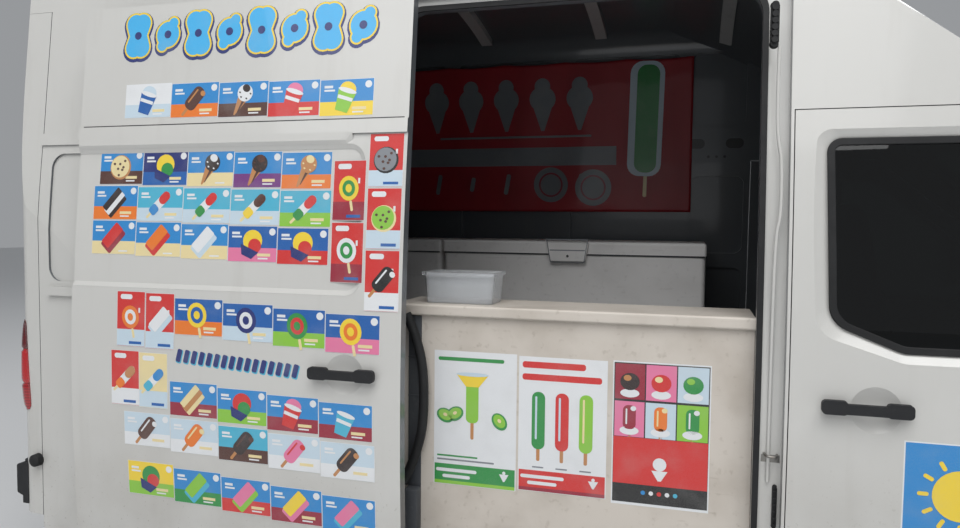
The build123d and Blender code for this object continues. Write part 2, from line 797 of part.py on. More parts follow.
def tow_socket(x0, x1, y, z):
    """Tube with a blind bore for a towing eye, its mouth at x1."""
    tube = along(y, z, socket_r, x0, x1)
    inward = 1 if x1 > x0 else -1
    return tube, along(y, z, socket_bore_r, x1 + inward, x1 - inward * socket_deep)


def wheel_tyre(x, side):
    """Tyre turned about its own axle, with rounded shoulders and an open bead."""
    half = tyre_w / 2
    flank = [(rim_r, 88), (tyre_r - 70, half), (tyre_r - 24, half - 6), (tyre_r, half - 34)]
    points = flank + [(r, -y) for r, y in reversed(flank)]
    ring = revolve(Plane.XZ * loop(points), Axis.Z, 360)
    return Pos(x, side * half_track, wheel_z) * Rot(90, 0, 0) * ring


def wheel_rim(x, side):
    """Steel wheel with its hub and brake disc, bored for the stub axle and capped outside."""
    points = [
        (0, 46), (42, 46), (46, 38), (88, 30), (120, 14), (150, 24), (186, 24), (186, 82),
        (rim_r, 88), (rim_r, -88), (188, -84), (186, 12), (150, 12), (120, 2), (88, 18), (62, 18), (62, -28),
        (148, -28), (148, -52), (56, -52), (56, -66), (hub_r + running, -66), (hub_r + running, 36), (0, 36),
    ]
    ring = revolve(Plane.XZ * loop(points), Axis.Z, 360)
    for k in range(8):
        ring -= Rot(0, 0, k * 45) * Pos(134, 0, 15) * Cylinder(13, 60)
    return Pos(x, side * half_track, wheel_z) * Rot(-90 * side, 0, 0) * ring


def stub(x, side, inner_y):
    return across(x, wheel_z, hub_r, side * inner_y, side * (half_track + 36 - running))


def rear_axle():
    axle = across(rear_axle_x, wheel_z, 40, -735, 735)
    axle += across(rear_axle_x, wheel_z, 130, -70, 70)
    axle += along(0, wheel_z, 60, rear_axle_x, rear_axle_x + 200)
    for side in (1, -1):
        axle += across(rear_axle_x, wheel_z, 58, side * 720, side * 735)
        axle += stub(rear_axle_x, side, 730)
        inboard, outboard = side * rail_in, side * rail_out
        axle += block(rear_axle_x - 60, rear_axle_x + 60, inboard, outboard, wheel_z - 55, wheel_z + 40)
    return whole(axle)


def leaf_springs():
    """Two leaf springs from hanger to hanger, seated on the axle's pads."""
    springs = Part()
    low, high, x = wheel_z + 40, rail_low, rear_axle_x
    for side in (1, -1):
        face = make_face(
            [
                ThreePointArc((x - spring_half, high - 26), (x, low), (x + spring_half, high - 26)),
                Line((x + spring_half, high - 26), (x + spring_half, high)),
                ThreePointArc((x + spring_half, high), (x, low + 30), (x - spring_half, high)),
                Line((x - spring_half, high), (x - spring_half, high - 26)),
            ]
        )
        springs += side_prism(face, side * rail_in, side * rail_out)
    return springs


def front_suspension():
    """Cross member with a lower arm and a strut to each knuckle, and the steering rack."""
    beam = block(front_axle_x - 60, front_axle_x + 60, -430, 430, 225, 285)
    for side in (1, -1):
        beam += block(front_axle_x - 60, front_axle_x + 60, side * 400, side * 440, 225, rail_low)
        roots = [(front_axle_x - 150, side * 420), (front_axle_x + 150, side * 420)]
        arm = loop(roots + [(front_axle_x + 26, side * 705), (front_axle_x - 26, side * 705)])
        beam += extrude(Pos(0, 0, 222) * arm, amount=28)
        beam += upright(front_axle_x, side * kingpin_y, 12, 240, 274)
    beam += across(front_axle_x - 140, 330, 24, -560, 560)
    beam += block(front_axle_x - 165, front_axle_x - 60, -60, 60, 270, 350)
    beam = whole(beam)
    for side in (1, -1):
        strut = upright(front_axle_x, side * kingpin_y, 26, 532, 800)
        strut += upright(front_axle_x, side * kingpin_y, 18, 502, 540)
        strut += upright(front_axle_x, side * kingpin_y, 70, 790, 900)
        beam += strut & arch(front_axle_x, liner_r, side * 500, side * 912)
    return beam


def knuckle(side):
    """Upright that turns on the strut and the lower arm's ball stud, with the stub axle and steering arm."""
    y = side * kingpin_y
    form = block(front_axle_x - 32, front_axle_x + 32, y - 30, y + 30, 250.3, 530)
    form += stub(front_axle_x, side, kingpin_y)
    form += across(front_axle_x, wheel_z, 46, side * kingpin_y, side * (half_track - 68))
    form += block(front_axle_x - 130, front_axle_x, y - side * 30, y, 300, 322)
    form -= upright(front_axle_x, y, 18 + hinge_gap, 499, 600)
    form -= upright(front_axle_x, y, 12 + hinge_gap, 200, 277)
    return whole(form)


def engine():
    block_x0, block_x1 = nose_x - 740, nose_x - 330
    form = block(block_x0, block_x1, -250, 250, 470, 950)
    for side in (1, -1):
        form += block(block_x0 + 120, block_x0 + 220, side * 240, side * rail_in, 540, 580)
    return form


def driveline():
    """Gearbox behind the engine and the shaft down to the rear axle."""
    box = along(0, 470, 85, nose_x - 740, nose_x - 1500)
    start, end = Vector(nose_x - 1500, 0, 470), Vector(rear_axle_x + 200, 0, wheel_z)
    run = end - start
    shaft = Plane(origin=start, z_dir=run) * Pos(0, 0, run.length / 2) * Cylinder(34, run.length)
    box += shaft & block(rear_axle_x + 200, nose_x, -100, 100, 0, 700)
    box += block(nose_x - 1180, nose_x - 1120, -90, 90, 500, 560)
    return whole(box)


def exhaust():
    """Pipe from the engine to a side outlet ahead of the rear wheel, with its silencer and hangers."""
    y, z = -560, 430
    start_x, end_x = at(-880), rear_axle_x + 580
    route = FilletPolyline((start_x, -330, z), (start_x, y, z), (end_x, y, z), (end_x, -860, z), radius=90)
    pipe = sweep(Plane(origin=(start_x, -330, z), z_dir=(0, -1, 0)) * Circle(26), path=route)
    form = pipe + along(y, z, 85, at(300), at(900))
    for x in (at(-100), at(1050)):
        form += block(x - 12, x + 12, y - 16, y + 16, z, floor_z - floor_t)
    return whole(form)


def fuel_tank():
    form = block(at(-150), at(780), 480, 800, 410, floor_z - floor_t)
    return fillet(form.edges().filter_by(Axis.X), 40)


def radiator():
    return block(nose_x - 270, nose_x - 222, 2 - rail_in, rail_in - 2, rail_high - 40, 990)


def dashboard():
    """Dash moulding across the cab with an instrument hood and the steering column."""
    front = nose_x - 790
    crest = [(front, 930), (front, 1352), (front - 120, 1330)]
    face = loop(crest + [(front - 360, 1262), (front - 400, 1200), (front - 330, 1010)])
    form = side_prism(face, -1000, 1000) & inner
    brow = [(front - 200, 1250), (front - 200, 1345), (front - 330, 1350)]
    hood = rounded(loop(brow + [(front - 440, 1290), (front - 400, 1200)]), 14)
    form += side_prism(hood, seat_y - 190, seat_y + 190)
    for y in (-780, -150, 150, 780):
        form -= block(front - 410, front - 362, y - 62, y + 62, 1212, 1250)
    form -= side_prism(plate(front - 420, front - 345, 1050, 1180, 20), -700, -300)
    form += column_axis * Pos(0, 0, -210) * Cylinder(38, 300)
    form -= column_axis * Pos(0, 0, -30) * Cylinder(pin_r * 2 + hinge_gap, 80)
    return whole(form)


wheel_centre = (nose_x - 1330, seat_y, 1330)
column_tilt = 42.0
column_axis = Pos(*wheel_centre) * Rot(0, -column_tilt, 0)


def steering_wheel():
    form = Torus(195, 15)
    form += Cylinder(52, 30)
    for turn in (0, 180, 270):
        form += Rot(0, 0, turn + 90) * Pos(0, 115, -4) * Box(42, 160, 12)
    form += Pos(0, 0, -40) * Cylinder(pin_r * 2, 56)
    return column_axis * whole(form)


def seat(side):
    """Cushion, leaning back and headrest."""
    y = side * seat_y
    cushion = fillet(block(at(-230), at(-740), y - 250, y + 250, 1000, 1130).edges().filter_by(Axis.Z), 60)
    back_face = loop([(at(-270), 1120), (at(-390), 1120), (at(-250), 1720), (at(-150), 1720)])
    back = fillet(side_prism(back_face, y - 240, y + 240).edges().filter_by(Axis.Y), 30)
    head_face = rounded(loop([(at(-150), 1775), (at(-245), 1775), (at(-225), 1960), (at(-150), 1960)]), 28)
    head = side_prism(head_face, y - 135, y + 135)
    posts = Part()
    for off in (-60, 60):
        posts += upright(at(-195), y + off, 7, 1700, 1800)
    return whole(cushion + back + head + posts)


def freezer(x0, x1, back_y):
    """Chest freezer body with an open well, and its lid hinged along the wall side."""
    body = block(x0, x1, freezer_front_y, back_y, floor_z + 30, freezer_top - lid_t - 1)
    body = fillet(body.edges().filter_by(Axis.Z), 22)
    well_y0, well_y1 = freezer_front_y + freezer_wall, back_y - freezer_wall
    body -= block(x0 + freezer_wall, x1 - freezer_wall, well_y0, well_y1, floor_z + 150, freezer_top)
    for fx in (x0 + 70, x1 - 70):
        for fy in (freezer_front_y + 60, back_y - 60):
            body += upright(fx, fy, 22, floor_z, floor_z + 40)
    lid = block(x0 - 4, x1 + 4, freezer_front_y - 10, back_y - 14, freezer_top - lid_t, freezer_top)
    lid = fillet(lid.edges().filter_by(Axis.Z) + lid.edges().group_by(Axis.Z)[-1], 14)
    middle = (x0 + x1) / 2
    high, low = freezer_top - 6, freezer_top - 95
    latch = loop([(middle - 100, high), (middle + 100, high), (middle + 84, low), (middle - 84, low)])
    lid += side_prism(rounded(latch, 12), freezer_front_y - 34, freezer_front_y - 8)
    for x in (x0 + 160, x1 - 160):
        axis = Pos(x, back_y, freezer_top - lid_t) * Rot(0, 90, 0)
        fixed, moving, room = hinge(axis, 60, 20)
        seat_z = freezer_top - lid_t
        for end in (-42, 42):
            fixed += block(x + end - 10, x + end + 10, back_y - 4, back_y + barrel_r - 1, seat_z - 60, seat_z)
        moving += block(x - 30, x + 30, back_y - 40, back_y, seat_z + 2, seat_z + 9)
        moving -= axis * Cylinder(pin_r + hinge_gap, 100)
        lid -= room
        body -= axis * Cylinder(barrel_r + 2, 61)
        body += fixed
        lid += moving
    return whole(body), whole(lid)


def counter():
    x0, x1 = opening_x0, opening_x1
    panel = block(x0, x1, counter_y, counter_y + counter_t, step_z, shelf_top - shelf_t)
    shelf = block(x0, x1, counter_y - shelf_out, counter_y + shelf_in, shelf_top - shelf_t, shelf_top)
    shelf = fillet(shelf.edges().filter_by(Axis.X), 8)
    return panel, shelf


def tip_box():
    """Clear storage tub that narrows downwards, open at the top with a turned-out rim."""
    length, width, height, wall = 248.0, 150.0, 112.0, 3.0
    base = Pos(at(1092), counter_y + 115, shelf_top)

    def tub(inset, low, high):
        face = RectangleRounded(length - 2 * inset, width - 2 * inset, 18 - inset)
        return base * Pos(0, 0, low) * extrude(face, amount=high - low, taper=-tub_flare)

    flare = 2 * height * tan(radians(tub_flare))
    rim = RectangleRounded(length + flare + 18, width + flare + 18, 26)
    form = tub(0, 0, height) + base * Pos(0, 0, height - 12) * extrude(rim, amount=12)
    return whole(form - tub(wall, wall, height + 1))


def banner():
    """Sheet hung on the left wall, following its lean."""
    skin = inner - envelope(side_wall + 8, roof_wall, front_wall, tail_wall)
    return whole(skin & block(at(2040), at(300), 300, 1000, 1700, 2540))


def roof_bows():
    """Ribs under the roof skin."""
    ribs = Part()
    skin = inner - envelope(side_wall, roof_wall + 32, front_wall, tail_wall)
    for s in (120, 760, 1400, 2040, 2620):
        ribs += skin & block(at(s + 60), at(s), -700, 700, 2560, roof_z)
    return ribs


def door_seal():
    """Rubber round the side opening, standing on the rebate's floor."""
    grown = plate(opening_x0 - 18, opening_x1 + 18, step_z - 18, opening_top + 18, 100)
    hole = plate(opening_x0, opening_x1, step_z, opening_top, 90)
    ring = side_prism(grown, -500, -1200) - side_prism(hole, -500, -1200)
    return whole(ring & (envelope(side=36, roof=36) - envelope(side=rebate_deep, roof=rebate_deep)))


def door_track():
    """Rail on the rear quarter, with the arms that carry the open side door."""
    z = 1335.0
    rail = (envelope(side=-16) - outer) & block(at(2800), side_door_x0 - 10, -1200, -300, z - 18, z + 18)
    arm_x = side_door_x0 - side_door_slide + side_door_lead + 120
    arm = envelope(side=-side_door_proud + 72) - envelope(side=-16)
    arm &= block(arm_x, arm_x + 90, -1200, -300, z - 14, z + 14)
    return whole(rail + arm)


def mirror_unit(side):
    """Door mirror on two arms."""
    x0 = nose_x - door_nose_d - 60
    y0 = half_width + 25
    head = block(x0 - 80, x0 + 5, side * y0, side * (y0 + 190), 1330, 1700)
    head = fillet(head.edges().filter_by(Axis.X), 30)
    head = fillet(head.edges().group_by(Axis.X)[-1], 20)
    for z in (1360, 1480):
        head += block(x0 - 20, x0 + 14, side * 900, side * (y0 + 10), z, z + 26) - outer
    return whole(head)


def pull_handle(x0, x1, z, side):
    """Bar handle standing off the skin on two feet."""
    grip = plate(x0 + 20, x1 - 20, z - 17, z + 13, 10)
    ends = plate(x0, x0 + 72, z - 20, z + 22, 13) + plate(x1 - 72, x1, z - 20, z + 22, 13)
    bar = (envelope(side=-34) - envelope(side=-16)) & side_prism(grip + ends, side * 300, side * 1200)
    for x in (x0 + 10, x1 - 50):
        bar += (envelope(side=-30) - outer) & block(x, x + 40, side * 300, side * 1200, z - 14, z + 14)
    return whole(bar)


front_hinges = (690.0, 1160.0)
tail_hinges = (820.0, 1490.0, 2160.0)
for side_name, side in both_sides:
    leaf, panel = cab_door(side), wing(side)
    axis_x, axis_y = nose_x - door_nose_d, side * front_hinge_y

    def fore_and_aft(sign, low, high):
        return block(axis_x, axis_x + sign * 26, axis_y - side * 22, axis_y + side * 2, low, high)

    stays, swings, rooms = upright_hinges(axis_x, axis_y, front_hinges, fore_and_aft)
    parts[f"front_door_{side_name}"] = whole(clear_of(leaf, rooms) + swings)
    parts["front_wings"] = parts.get("front_wings", Part()) + whole(clear_of(panel, rooms) + stays)
    parts[f"front_door_glass_{side_name}"] = cab_glass(side)
    handle = pull_handle(at(-89), at(-334), handle_z, side)
    parts[f"mirror_and_handle_{side_name}"] = mirror_unit(side) + handle
    parts["headlamps"] = parts.get("headlamps", Part()) + headlamp(side) + fog_lamp(side)
    parts["headlamp_bowls"] = parts.get("headlamp_bowls", Part()) + headlamp_housing(side)

    def sideways(sign, low, high):
        root, reach = side * tail_hinge_y, side * (tail_hinge_y + sign * 40)
        return block(tail_hinge_x - 2, tail_hinge_x + 22, root, reach, low, high)

    stays, swings, rooms = upright_hinges(tail_hinge_x, side * tail_hinge_y, tail_hinges, sideways)
    parts["rear_corners"] = parts.get("rear_corners", Part()) + whole(corner_post(side) + (stays - outer))
    parts[f"rear_door_{side_name}"] = whole(tail_door(side) + (swings - outer))
    parts["tail_lamps"] = parts.get("tail_lamps", Part()) + tail_lamp(side)
    parts[f"rear_door_glass_{side_name}"] = tail_glass(side)
    parts[f"knuckle_{side_name}"] = knuckle(side)
    for end, x in (("front", front_axle_x), ("rear", rear_axle_x)):
        parts[f"tyre_{end}_{side_name}"] = wheel_tyre(x, side)
        parts[f"rim_{end}_{side_name}"] = wheel_rim(x, side)
parts["left_side_panel"] = left_side()
parts["right_side_panel"] = right_side()
parts["sliding_door"] = side_door()
track = door_track() - parts["sliding_door"]
parts["sliding_door_track"] = whole(track)
slide_handle = pull_handle(side_door_x1 - 326, side_door_x1 - 84, handle_z + 18, -1)
parts["sliding_door_handle"] = slid_open * slide_handle
parts["side_door_seal"] = door_seal()
parts["high_roof"] = high_roof()
parts["roof_bows"] = roof_bows()
stays, swings, rooms = bonnet_hinges()
parts["cab_frame"] = whole(cab_frame() + stays)
parts["bonnet"] = whole(clear_of(bonnet(), rooms) + swings)
parts["grille"] = grille()
parts["front_bumper"] = front_bumper()
parts["rear_bumper"] = rear_bumper()
parts["windscreen"] = windscreen()
parts["wipers"] = wipers()
parts["floor"] = solid_floor()
parts["chassis_frame"] = chassis_frame()
parts["arch_liners"] = arch_liners()
parts["rear_axle"] = whole(rear_axle() + leaf_springs())
parts["front_suspension"] = front_suspension()
parts["engine_and_driveline"] = whole(engine() + driveline())
parts["exhaust"] = exhaust()
parts["fuel_tank"] = fuel_tank()
parts["radiator"] = radiator()
parts["dashboard"] = dashboard()
parts["steering_wheel"] = steering_wheel()
parts["driver_seat"] = seat(1)
parts["passenger_seat"] = seat(-1)
parts["freezer"], parts["freezer_lid"] = freezer(at(1508), at(228), 820)
parts["rear_freezer"], parts["rear_freezer_lid"] = freezer(at(2060), at(1526), 680)
parts["serving_counter"] = whole(Part() + list(counter()))
parts["tip_box"] = tip_box()
parts["banner"] = banner()

for name, shape in parts.items():
    solids = shape.solids()
    export_step(solids[0] if len(solids) == 1 else Compound(children=list(solids)), f"parts/{name}.step")
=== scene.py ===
# The ice cream truck stands here as finished solids, in metres: +X forwards, +Y to the driver's side,
# +Z up from the ground. It is dressed in the order in which such a van is painted, glazed, trimmed,
# fitted out and covered with stickers.
import math

import bmesh
import bpy
from mathutils import Matrix, Vector
from mathutils.bvhtree import BVHTree


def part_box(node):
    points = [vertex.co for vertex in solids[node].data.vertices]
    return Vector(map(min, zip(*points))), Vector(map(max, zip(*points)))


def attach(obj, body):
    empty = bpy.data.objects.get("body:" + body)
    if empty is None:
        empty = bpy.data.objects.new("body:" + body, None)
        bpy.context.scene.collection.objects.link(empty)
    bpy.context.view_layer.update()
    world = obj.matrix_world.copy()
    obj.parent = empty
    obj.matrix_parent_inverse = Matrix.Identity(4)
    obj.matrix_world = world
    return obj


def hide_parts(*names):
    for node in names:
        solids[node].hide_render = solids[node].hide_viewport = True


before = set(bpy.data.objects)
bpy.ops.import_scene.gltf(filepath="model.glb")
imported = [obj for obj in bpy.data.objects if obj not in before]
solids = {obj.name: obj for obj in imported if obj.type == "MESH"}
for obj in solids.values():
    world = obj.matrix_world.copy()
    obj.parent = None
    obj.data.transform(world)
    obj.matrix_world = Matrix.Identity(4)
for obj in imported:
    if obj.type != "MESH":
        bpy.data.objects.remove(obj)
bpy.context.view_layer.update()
mm = 0.001


# Materials are built from nodes. A value that one node gives can be reckoned with like a number.
class Value:
    """One value that varies over a surface. Arithmetic on it adds Math nodes."""

    def __init__(self, finish, socket):
        self.finish = finish
        self.socket = socket

    def maths(self, operation, *terms):
        return self.finish.node("ShaderNodeMath", {"operation": operation}, dict(enumerate(terms)))

    def __add__(self, other):
        return self.maths("ADD", self, other)

    def __sub__(self, other):
        return self.maths("SUBTRACT", self, other)

    def __rsub__(self, other):
        return self.maths("SUBTRACT", other, self)

    def __mul__(self, other):
        return self.maths("MULTIPLY", self, other)

    def rise(self, low, high, top=1.0):
        """0 below low, top above high, and a smooth rise between them."""
        limits = {"Value": self, "From Min": low, "From Max": high, "To Max": top}
        return self.finish.node("ShaderNodeMapRange", {"interpolation_type": "SMOOTHSTEP"}, limits)


class Finish:
    """One material: its Principled shader and the nodes that feed it. Colours run from 0 to 255."""

    def __init__(self, name, sockets):
        self.name = name
        self.material = bpy.data.materials.new(name)
        self.material.use_nodes = True
        self.tree = self.material.node_tree
        self.shader = self.tree.nodes["Principled BSDF"]
        self.place = self.node("ShaderNodeTexCoord", output="Object")
        self.give(sockets)

    def node(self, kind, settings=None, inputs=None, output=0):
        made = self.tree.nodes.new(kind)
        for name, value in (settings or {}).items():
            setattr(made, name, value)
        for name, value in (inputs or {}).items():
            self.plug(made.inputs[name], value)
        return Value(self, made.outputs[output])

    def plug(self, socket, value):
        if isinstance(value, Value):
            self.tree.links.new(value.socket, socket)
        elif socket.type == "RGBA":
            socket.default_value = (*(((part / 255 + 0.055) / 1.055) ** 2.4 for part in value), 1.0)
        else:
            socket.default_value = value

    def give(self, sockets):
        for name, value in sockets.items():
            self.plug(self.shader.inputs[name], value)

    def cover(self, share, colour, worn, roughness):
        """A colour that wears towards a second one by a share, and a roughness."""
        self.give({"Base Color": self.mix(share, colour, worn), "Roughness": roughness})

    def noise(self, scale, detail=3.0, stretch=(1, 1, 1)):
        drawn = self.node("ShaderNodeMapping", inputs={"Vector": self.place, "Scale": stretch})
        return self.node("ShaderNodeTexNoise", inputs={"Vector": drawn, "Scale": scale, "Detail": detail})

    def along(self, axis):
        return self.node("ShaderNodeSeparateXYZ", inputs={0: self.place}, output=axis)

    def mix(self, share, first, second):
        return self.node("ShaderNodeMix", {"data_type": "RGBA"}, {0: share, 6: first, 7: second}, 2)

    def bump(self, height, depth, strength=1.0):
        relief = {"Height": height, "Distance": depth, "Strength": strength}
        self.give({"Normal": self.node("ShaderNodeBump", inputs=relief)})


# Body paint: white enamel over pressed steel, with a clear coat. Road film gathers towards the sills,
# rain draws faint streaks down from the rub strip, and the gloss is uneven where it was wiped.
def enamel(name, colour, grime, film=1.0, inward_shade=None):
    """Enamel over steel. Where an inward shade colour is given, faces that look inwards take it as painted
    shade.
    """
    paint = Finish(name, {"Roughness": 0.3, "Coat Weight": 0.5, "Coat Roughness": 0.08})
    # Faces that look into the body darken towards the inward shade colour: painted shade for the dim inside.
    if inward_shade:
        core = paint.node("ShaderNodeVectorMath", {"operation": "SUBTRACT"}, {0: paint.place, 1: (0, 0, 1.4)})
        facing = paint.node("ShaderNodeTexCoord", output="Normal")
        product = {"operation": "DOT_PRODUCT"}
        outwards = paint.node("ShaderNodeVectorMath", product, {0: facing, 1: core}, "Value")
        colour = paint.mix(outwards.rise(-0.12, 0.0), inward_shade, colour)
    low = 1 - paint.along("Z").rise(0.35, 1.15)
    cloud = paint.noise(2.3, 6)
    streak = paint.noise(16, 4, (1, 1, 0.07)).rise(0.52, 0.78)
    speck = paint.noise(95, 2).rise(0.66, 0.74)
    mud = low * cloud.rise(0.3, 0.75) * 0.34 + streak * 0.07
    dirt = (mud + speck * low * 0.3 + cloud.rise(0.5, 0.8) * 0.05) * film
    paint.cover(dirt, colour, grime, dirt * 0.9 + 0.27 + cloud * 0.06)
    paint.bump(paint.noise(420, 2) + paint.noise(5, 2) * 2, 0.0004, 0.35)
    return paint


def dress(finish, *names):
    """Gives solids of the van their finish."""
    for name in names:
        for place in solids[name].material_slots:
            place.material = finish.material


road_dust = (128, 118, 102)
# The dark grey for inward faces is painted shade for the dim load space and door insides.
white_paint = enamel("body_white", (202, 201, 197), road_dust, inward_shade=(94, 98, 102))
outer_skin = ["left_side_panel", "right_side_panel", "sliding_door", "high_roof", "cab_frame", "bonnet"]
outer_skin += ["front_door_left", "front_door_right", "rear_door_left", "rear_door_right"]
outer_skin += ["front_wings", "rear_corners", "sliding_door_track"]
dress(white_paint, *outer_skin)
inside_paint = enamel("inner_white", (196, 197, 196), (96, 90, 82), 1.6)
dress(inside_paint, "roof_bows")


# Everything black on the outside is grained polypropylene, which greys where the sun bleaches it and
# holds dust in its grain. Seals and window bands are a darker, closer rubber.
def moulded(name, colour, worn, roughness=0.52, grain=900):
    plastic = Finish(name, {})
    fade = plastic.noise(3.1, 4).rise(0.35, 0.8, 0.5) + plastic.noise(60, 3).rise(0.55, 0.75, 0.25)
    plastic.cover(fade, colour, worn, plastic.noise(30, 3) * 0.2 + roughness)
    plastic.bump(plastic.noise(grain, 2), 0.0005, 0.6)
    return plastic


black_plastic = moulded("black_plastic", (24, 25, 28), (58, 58, 59))
dark_trim = moulded("dark_trim", (20, 21, 23), (44, 44, 46), 0.42)
seal_rubber = moulded("rubber_black", (15, 16, 18), (46, 46, 47), 0.6, 300)
dress(black_plastic, "front_bumper", "rear_bumper", "mirror_and_handle_left", "mirror_and_handle_right")
dress(black_plastic, "sliding_door_handle", "arch_liners", "wipers")
dress(dark_trim, "dashboard", "steering_wheel", "grille")
dress(seal_rubber, "side_door_seal")


# Glass: toughened and dark tinted, a little dusty in patches.
glazing = Finish("glass", {"Transmission Weight": 1.0, "IOR": 1.5, "Base Color": (60, 68, 67)})
glazing.give({"Roughness": glazing.noise(7, 4).rise(0.5, 0.85, 0.05) + 0.01})
dress(glazing, "windscreen", "front_door_glass_left", "front_door_glass_right")
dress(glazing, "rear_door_glass_left", "rear_door_glass_right")


# Below the floor: black-coated steel with dust and rust where stones have chipped it, bright steel on
# the running parts and raw castings on the axle and knuckles.
def worn_steel(name, colour, rust, metal=0.0, roughness=0.55, share=0.5):
    steel = Finish(name, {"Metallic": metal})
    patch = steel.noise(14, 6).rise(0.5, 0.68, share)
    dust = steel.noise(3, 4).rise(0.3, 0.8, 0.35)
    steel.cover(dust, steel.mix(patch, colour, rust), road_dust, patch * 0.3 + roughness + dust * 0.2)
    steel.bump(steel.noise(160, 4), 0.0008, 0.5)
    return steel


rust_brown = (104, 62, 38)
chassis_black = worn_steel("chassis_black", (30, 30, 31), rust_brown, share=0.35)
bare_steel = worn_steel("steel", (150, 148, 144), rust_brown, 0.8, 0.4, 0.4)
casting = worn_steel("cast_metal", (96, 94, 92), rust_brown, 0.6, 0.6, 0.7)
dress(chassis_black, "chassis_frame", "fuel_tank", "front_suspension", "floor")
dress(bare_steel, "exhaust", "radiator")
dress(casting, "rear_axle", "knuckle_left", "knuckle_right", "engine_and_driveline")


# Wheels: pressed steel painted silver, with patches of brake dust.
wheel_silver = worn_steel("wheel_silver", (170, 172, 174), (90, 78, 66), 0.35, 0.4, 0.45)


# Studio: a plain pale floor and backdrop under soft light, and the camera where the photographer stood.
def new_object(name, data):
    made = bpy.data.objects.new(name, data)
    bpy.context.scene.collection.objects.link(made)
    return made


def camera_at(position, turn, tilt, roll, lens):
    """Camera looking across the van, turned towards its tail, tilted and rolled, all in radians."""
    across = Vector((-math.sin(turn), math.cos(turn), 0))
    level = Vector((math.cos(turn), math.sin(turn), 0))
    sight = across * math.cos(tilt) + Vector((0, 0, math.sin(tilt)))
    top = Vector((0, 0, math.cos(tilt))) - across * math.sin(tilt)
    right = level * math.cos(roll) + top * math.sin(roll)
    up = top * math.cos(roll) - level * math.sin(roll)
    data = bpy.data.cameras.new("camera")
    data.lens = lens
    data.clip_end = 200
    camera = new_object("camera", data)
    camera.matrix_world = Matrix.Translation(position) @ Matrix((right, up, -sight)).transposed().to_4x4()
    return camera


photographer = (0.055, -3.380, 1.614)
bpy.context.scene.camera = camera_at(photographer, turn=0.2789, tilt=-0.0510, roll=0.0106, lens=27.75)
bpy.context.scene.view_settings.view_transform = "Standard"


def soft_box(name, position, target, width, height, power):
    lamp = bpy.data.lights.new(name, "AREA")
    lamp.shape = "RECTANGLE"
    lamp.size = width
    lamp.size_y = height
    lamp.energy = power
    lamp_object = new_object(name, lamp)
    lamp_object.location = position
    lamp_object.rotation_euler = (Vector(target) - Vector(position)).to_track_quat("-Z", "Y").to_euler()


soft_box("key", (1.5, -5.2, 9), (0, -0.9, 1.2), 8, 5, 600)
soft_box("fill", (-1.8, -9.4, 7.0), (-0.4, 0, 1.5), 10, 4, 270)
soft_box("far_side", (0, 10, 9), (0, 0, 1.2), 11, 7, 420)
world = bpy.data.worlds.new("studio")
bpy.context.scene.world = world
world.use_nodes = True
air = world.node_tree
ambient = air.nodes["Background"]
ambient.inputs["Color"].default_value = (0.93, 0.96, 1.0, 1.0)
ambient.inputs["Strength"].default_value = 0.33


def formed(name, form, *finishes):
    """Object made from an edit mesh, with its materials."""
    mesh = bpy.data.meshes.new(name)
    form.to_mesh(mesh)
    form.free()
    for finish in finishes:
        mesh.materials.append(finish.material)
    return new_object(name, mesh)


floor_form = bmesh.new()
bmesh.ops.create_grid(floor_form, x_segments=1, y_segments=1, size=40)
floor_finish = Finish("studio_floor", {"Base Color": (214, 215, 216), "Roughness": 0.85})
formed("studio_floor", floor_form, floor_finish)


# Sticker cards on the sliding door: printed vinyl, each showing a frozen treat on a bright ground with
# a round price spot. They are laid in rows by hand, so the rows run slightly downhill to the front.
def printed(name, colour):
    """Ink on vinyl, faintly mottled and greyed by dust."""
    ink = Finish(name, {"Coat Weight": 0.35})
    mottle = ink.noise(700, 2).rise(0.35, 0.7, 0.1) + ink.noise(9, 4).rise(0.45, 0.8, 0.14)
    ink.cover(mottle, colour, (176, 176, 172), mottle + 0.3)
    ink.bump(ink.noise(500, 2), 0.0002, 0.3)
    return ink


inks = {
    "white": (226, 228, 230), "ice": (196, 214, 226), "sky": (34, 134, 202), "blue": (16, 92, 168),
    "navy": (24, 40, 112), "aqua": (70, 176, 206), "red": (208, 42, 40), "crimson": (150, 26, 52),
    "orange": (232, 120, 34), "yellow": (240, 208, 52), "cream": (232, 214, 160), "lime": (136, 196, 56),
    "green": (38, 142, 66), "pink": (226, 120, 160), "purple": (112, 48, 124), "brown": (82, 46, 36),
    "cocoa": (44, 28, 28), "tan": (190, 130, 76), "black": (22, 22, 24), "grey": (128, 132, 138),
    "azure": (62, 176, 232),
}
ink_order = list(inks)
ink_finishes = [printed("ink_" + name, inks[name]) for name in ink_order]


upright = Matrix.Rotation(math.pi / 2, 4, "X")
far_out = 4


def add_piece(name, form, body, slot, *finishes):
    """Visible piece that rides on a body of the van. Its slot argument is not used."""
    piece = formed(name, form, *finishes)
    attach(piece, body)
    return piece


def skin_of(carrier):
    """Search tree of an object's faces, for laying things on it."""
    mesh = carrier.data
    return BVHTree.FromPolygons([v.co for v in mesh.vertices], [p.vertices for p in mesh.polygons])


def ease(form, geom, offset, segments, affect="VERTICES"):
    """Rounds off corners or edges."""
    rounding = {"offset": offset, "segments": segments, "profile": 0.5, "affect": affect, "material": -1}
    return bmesh.ops.bevel(form, geom=geom, **rounding)


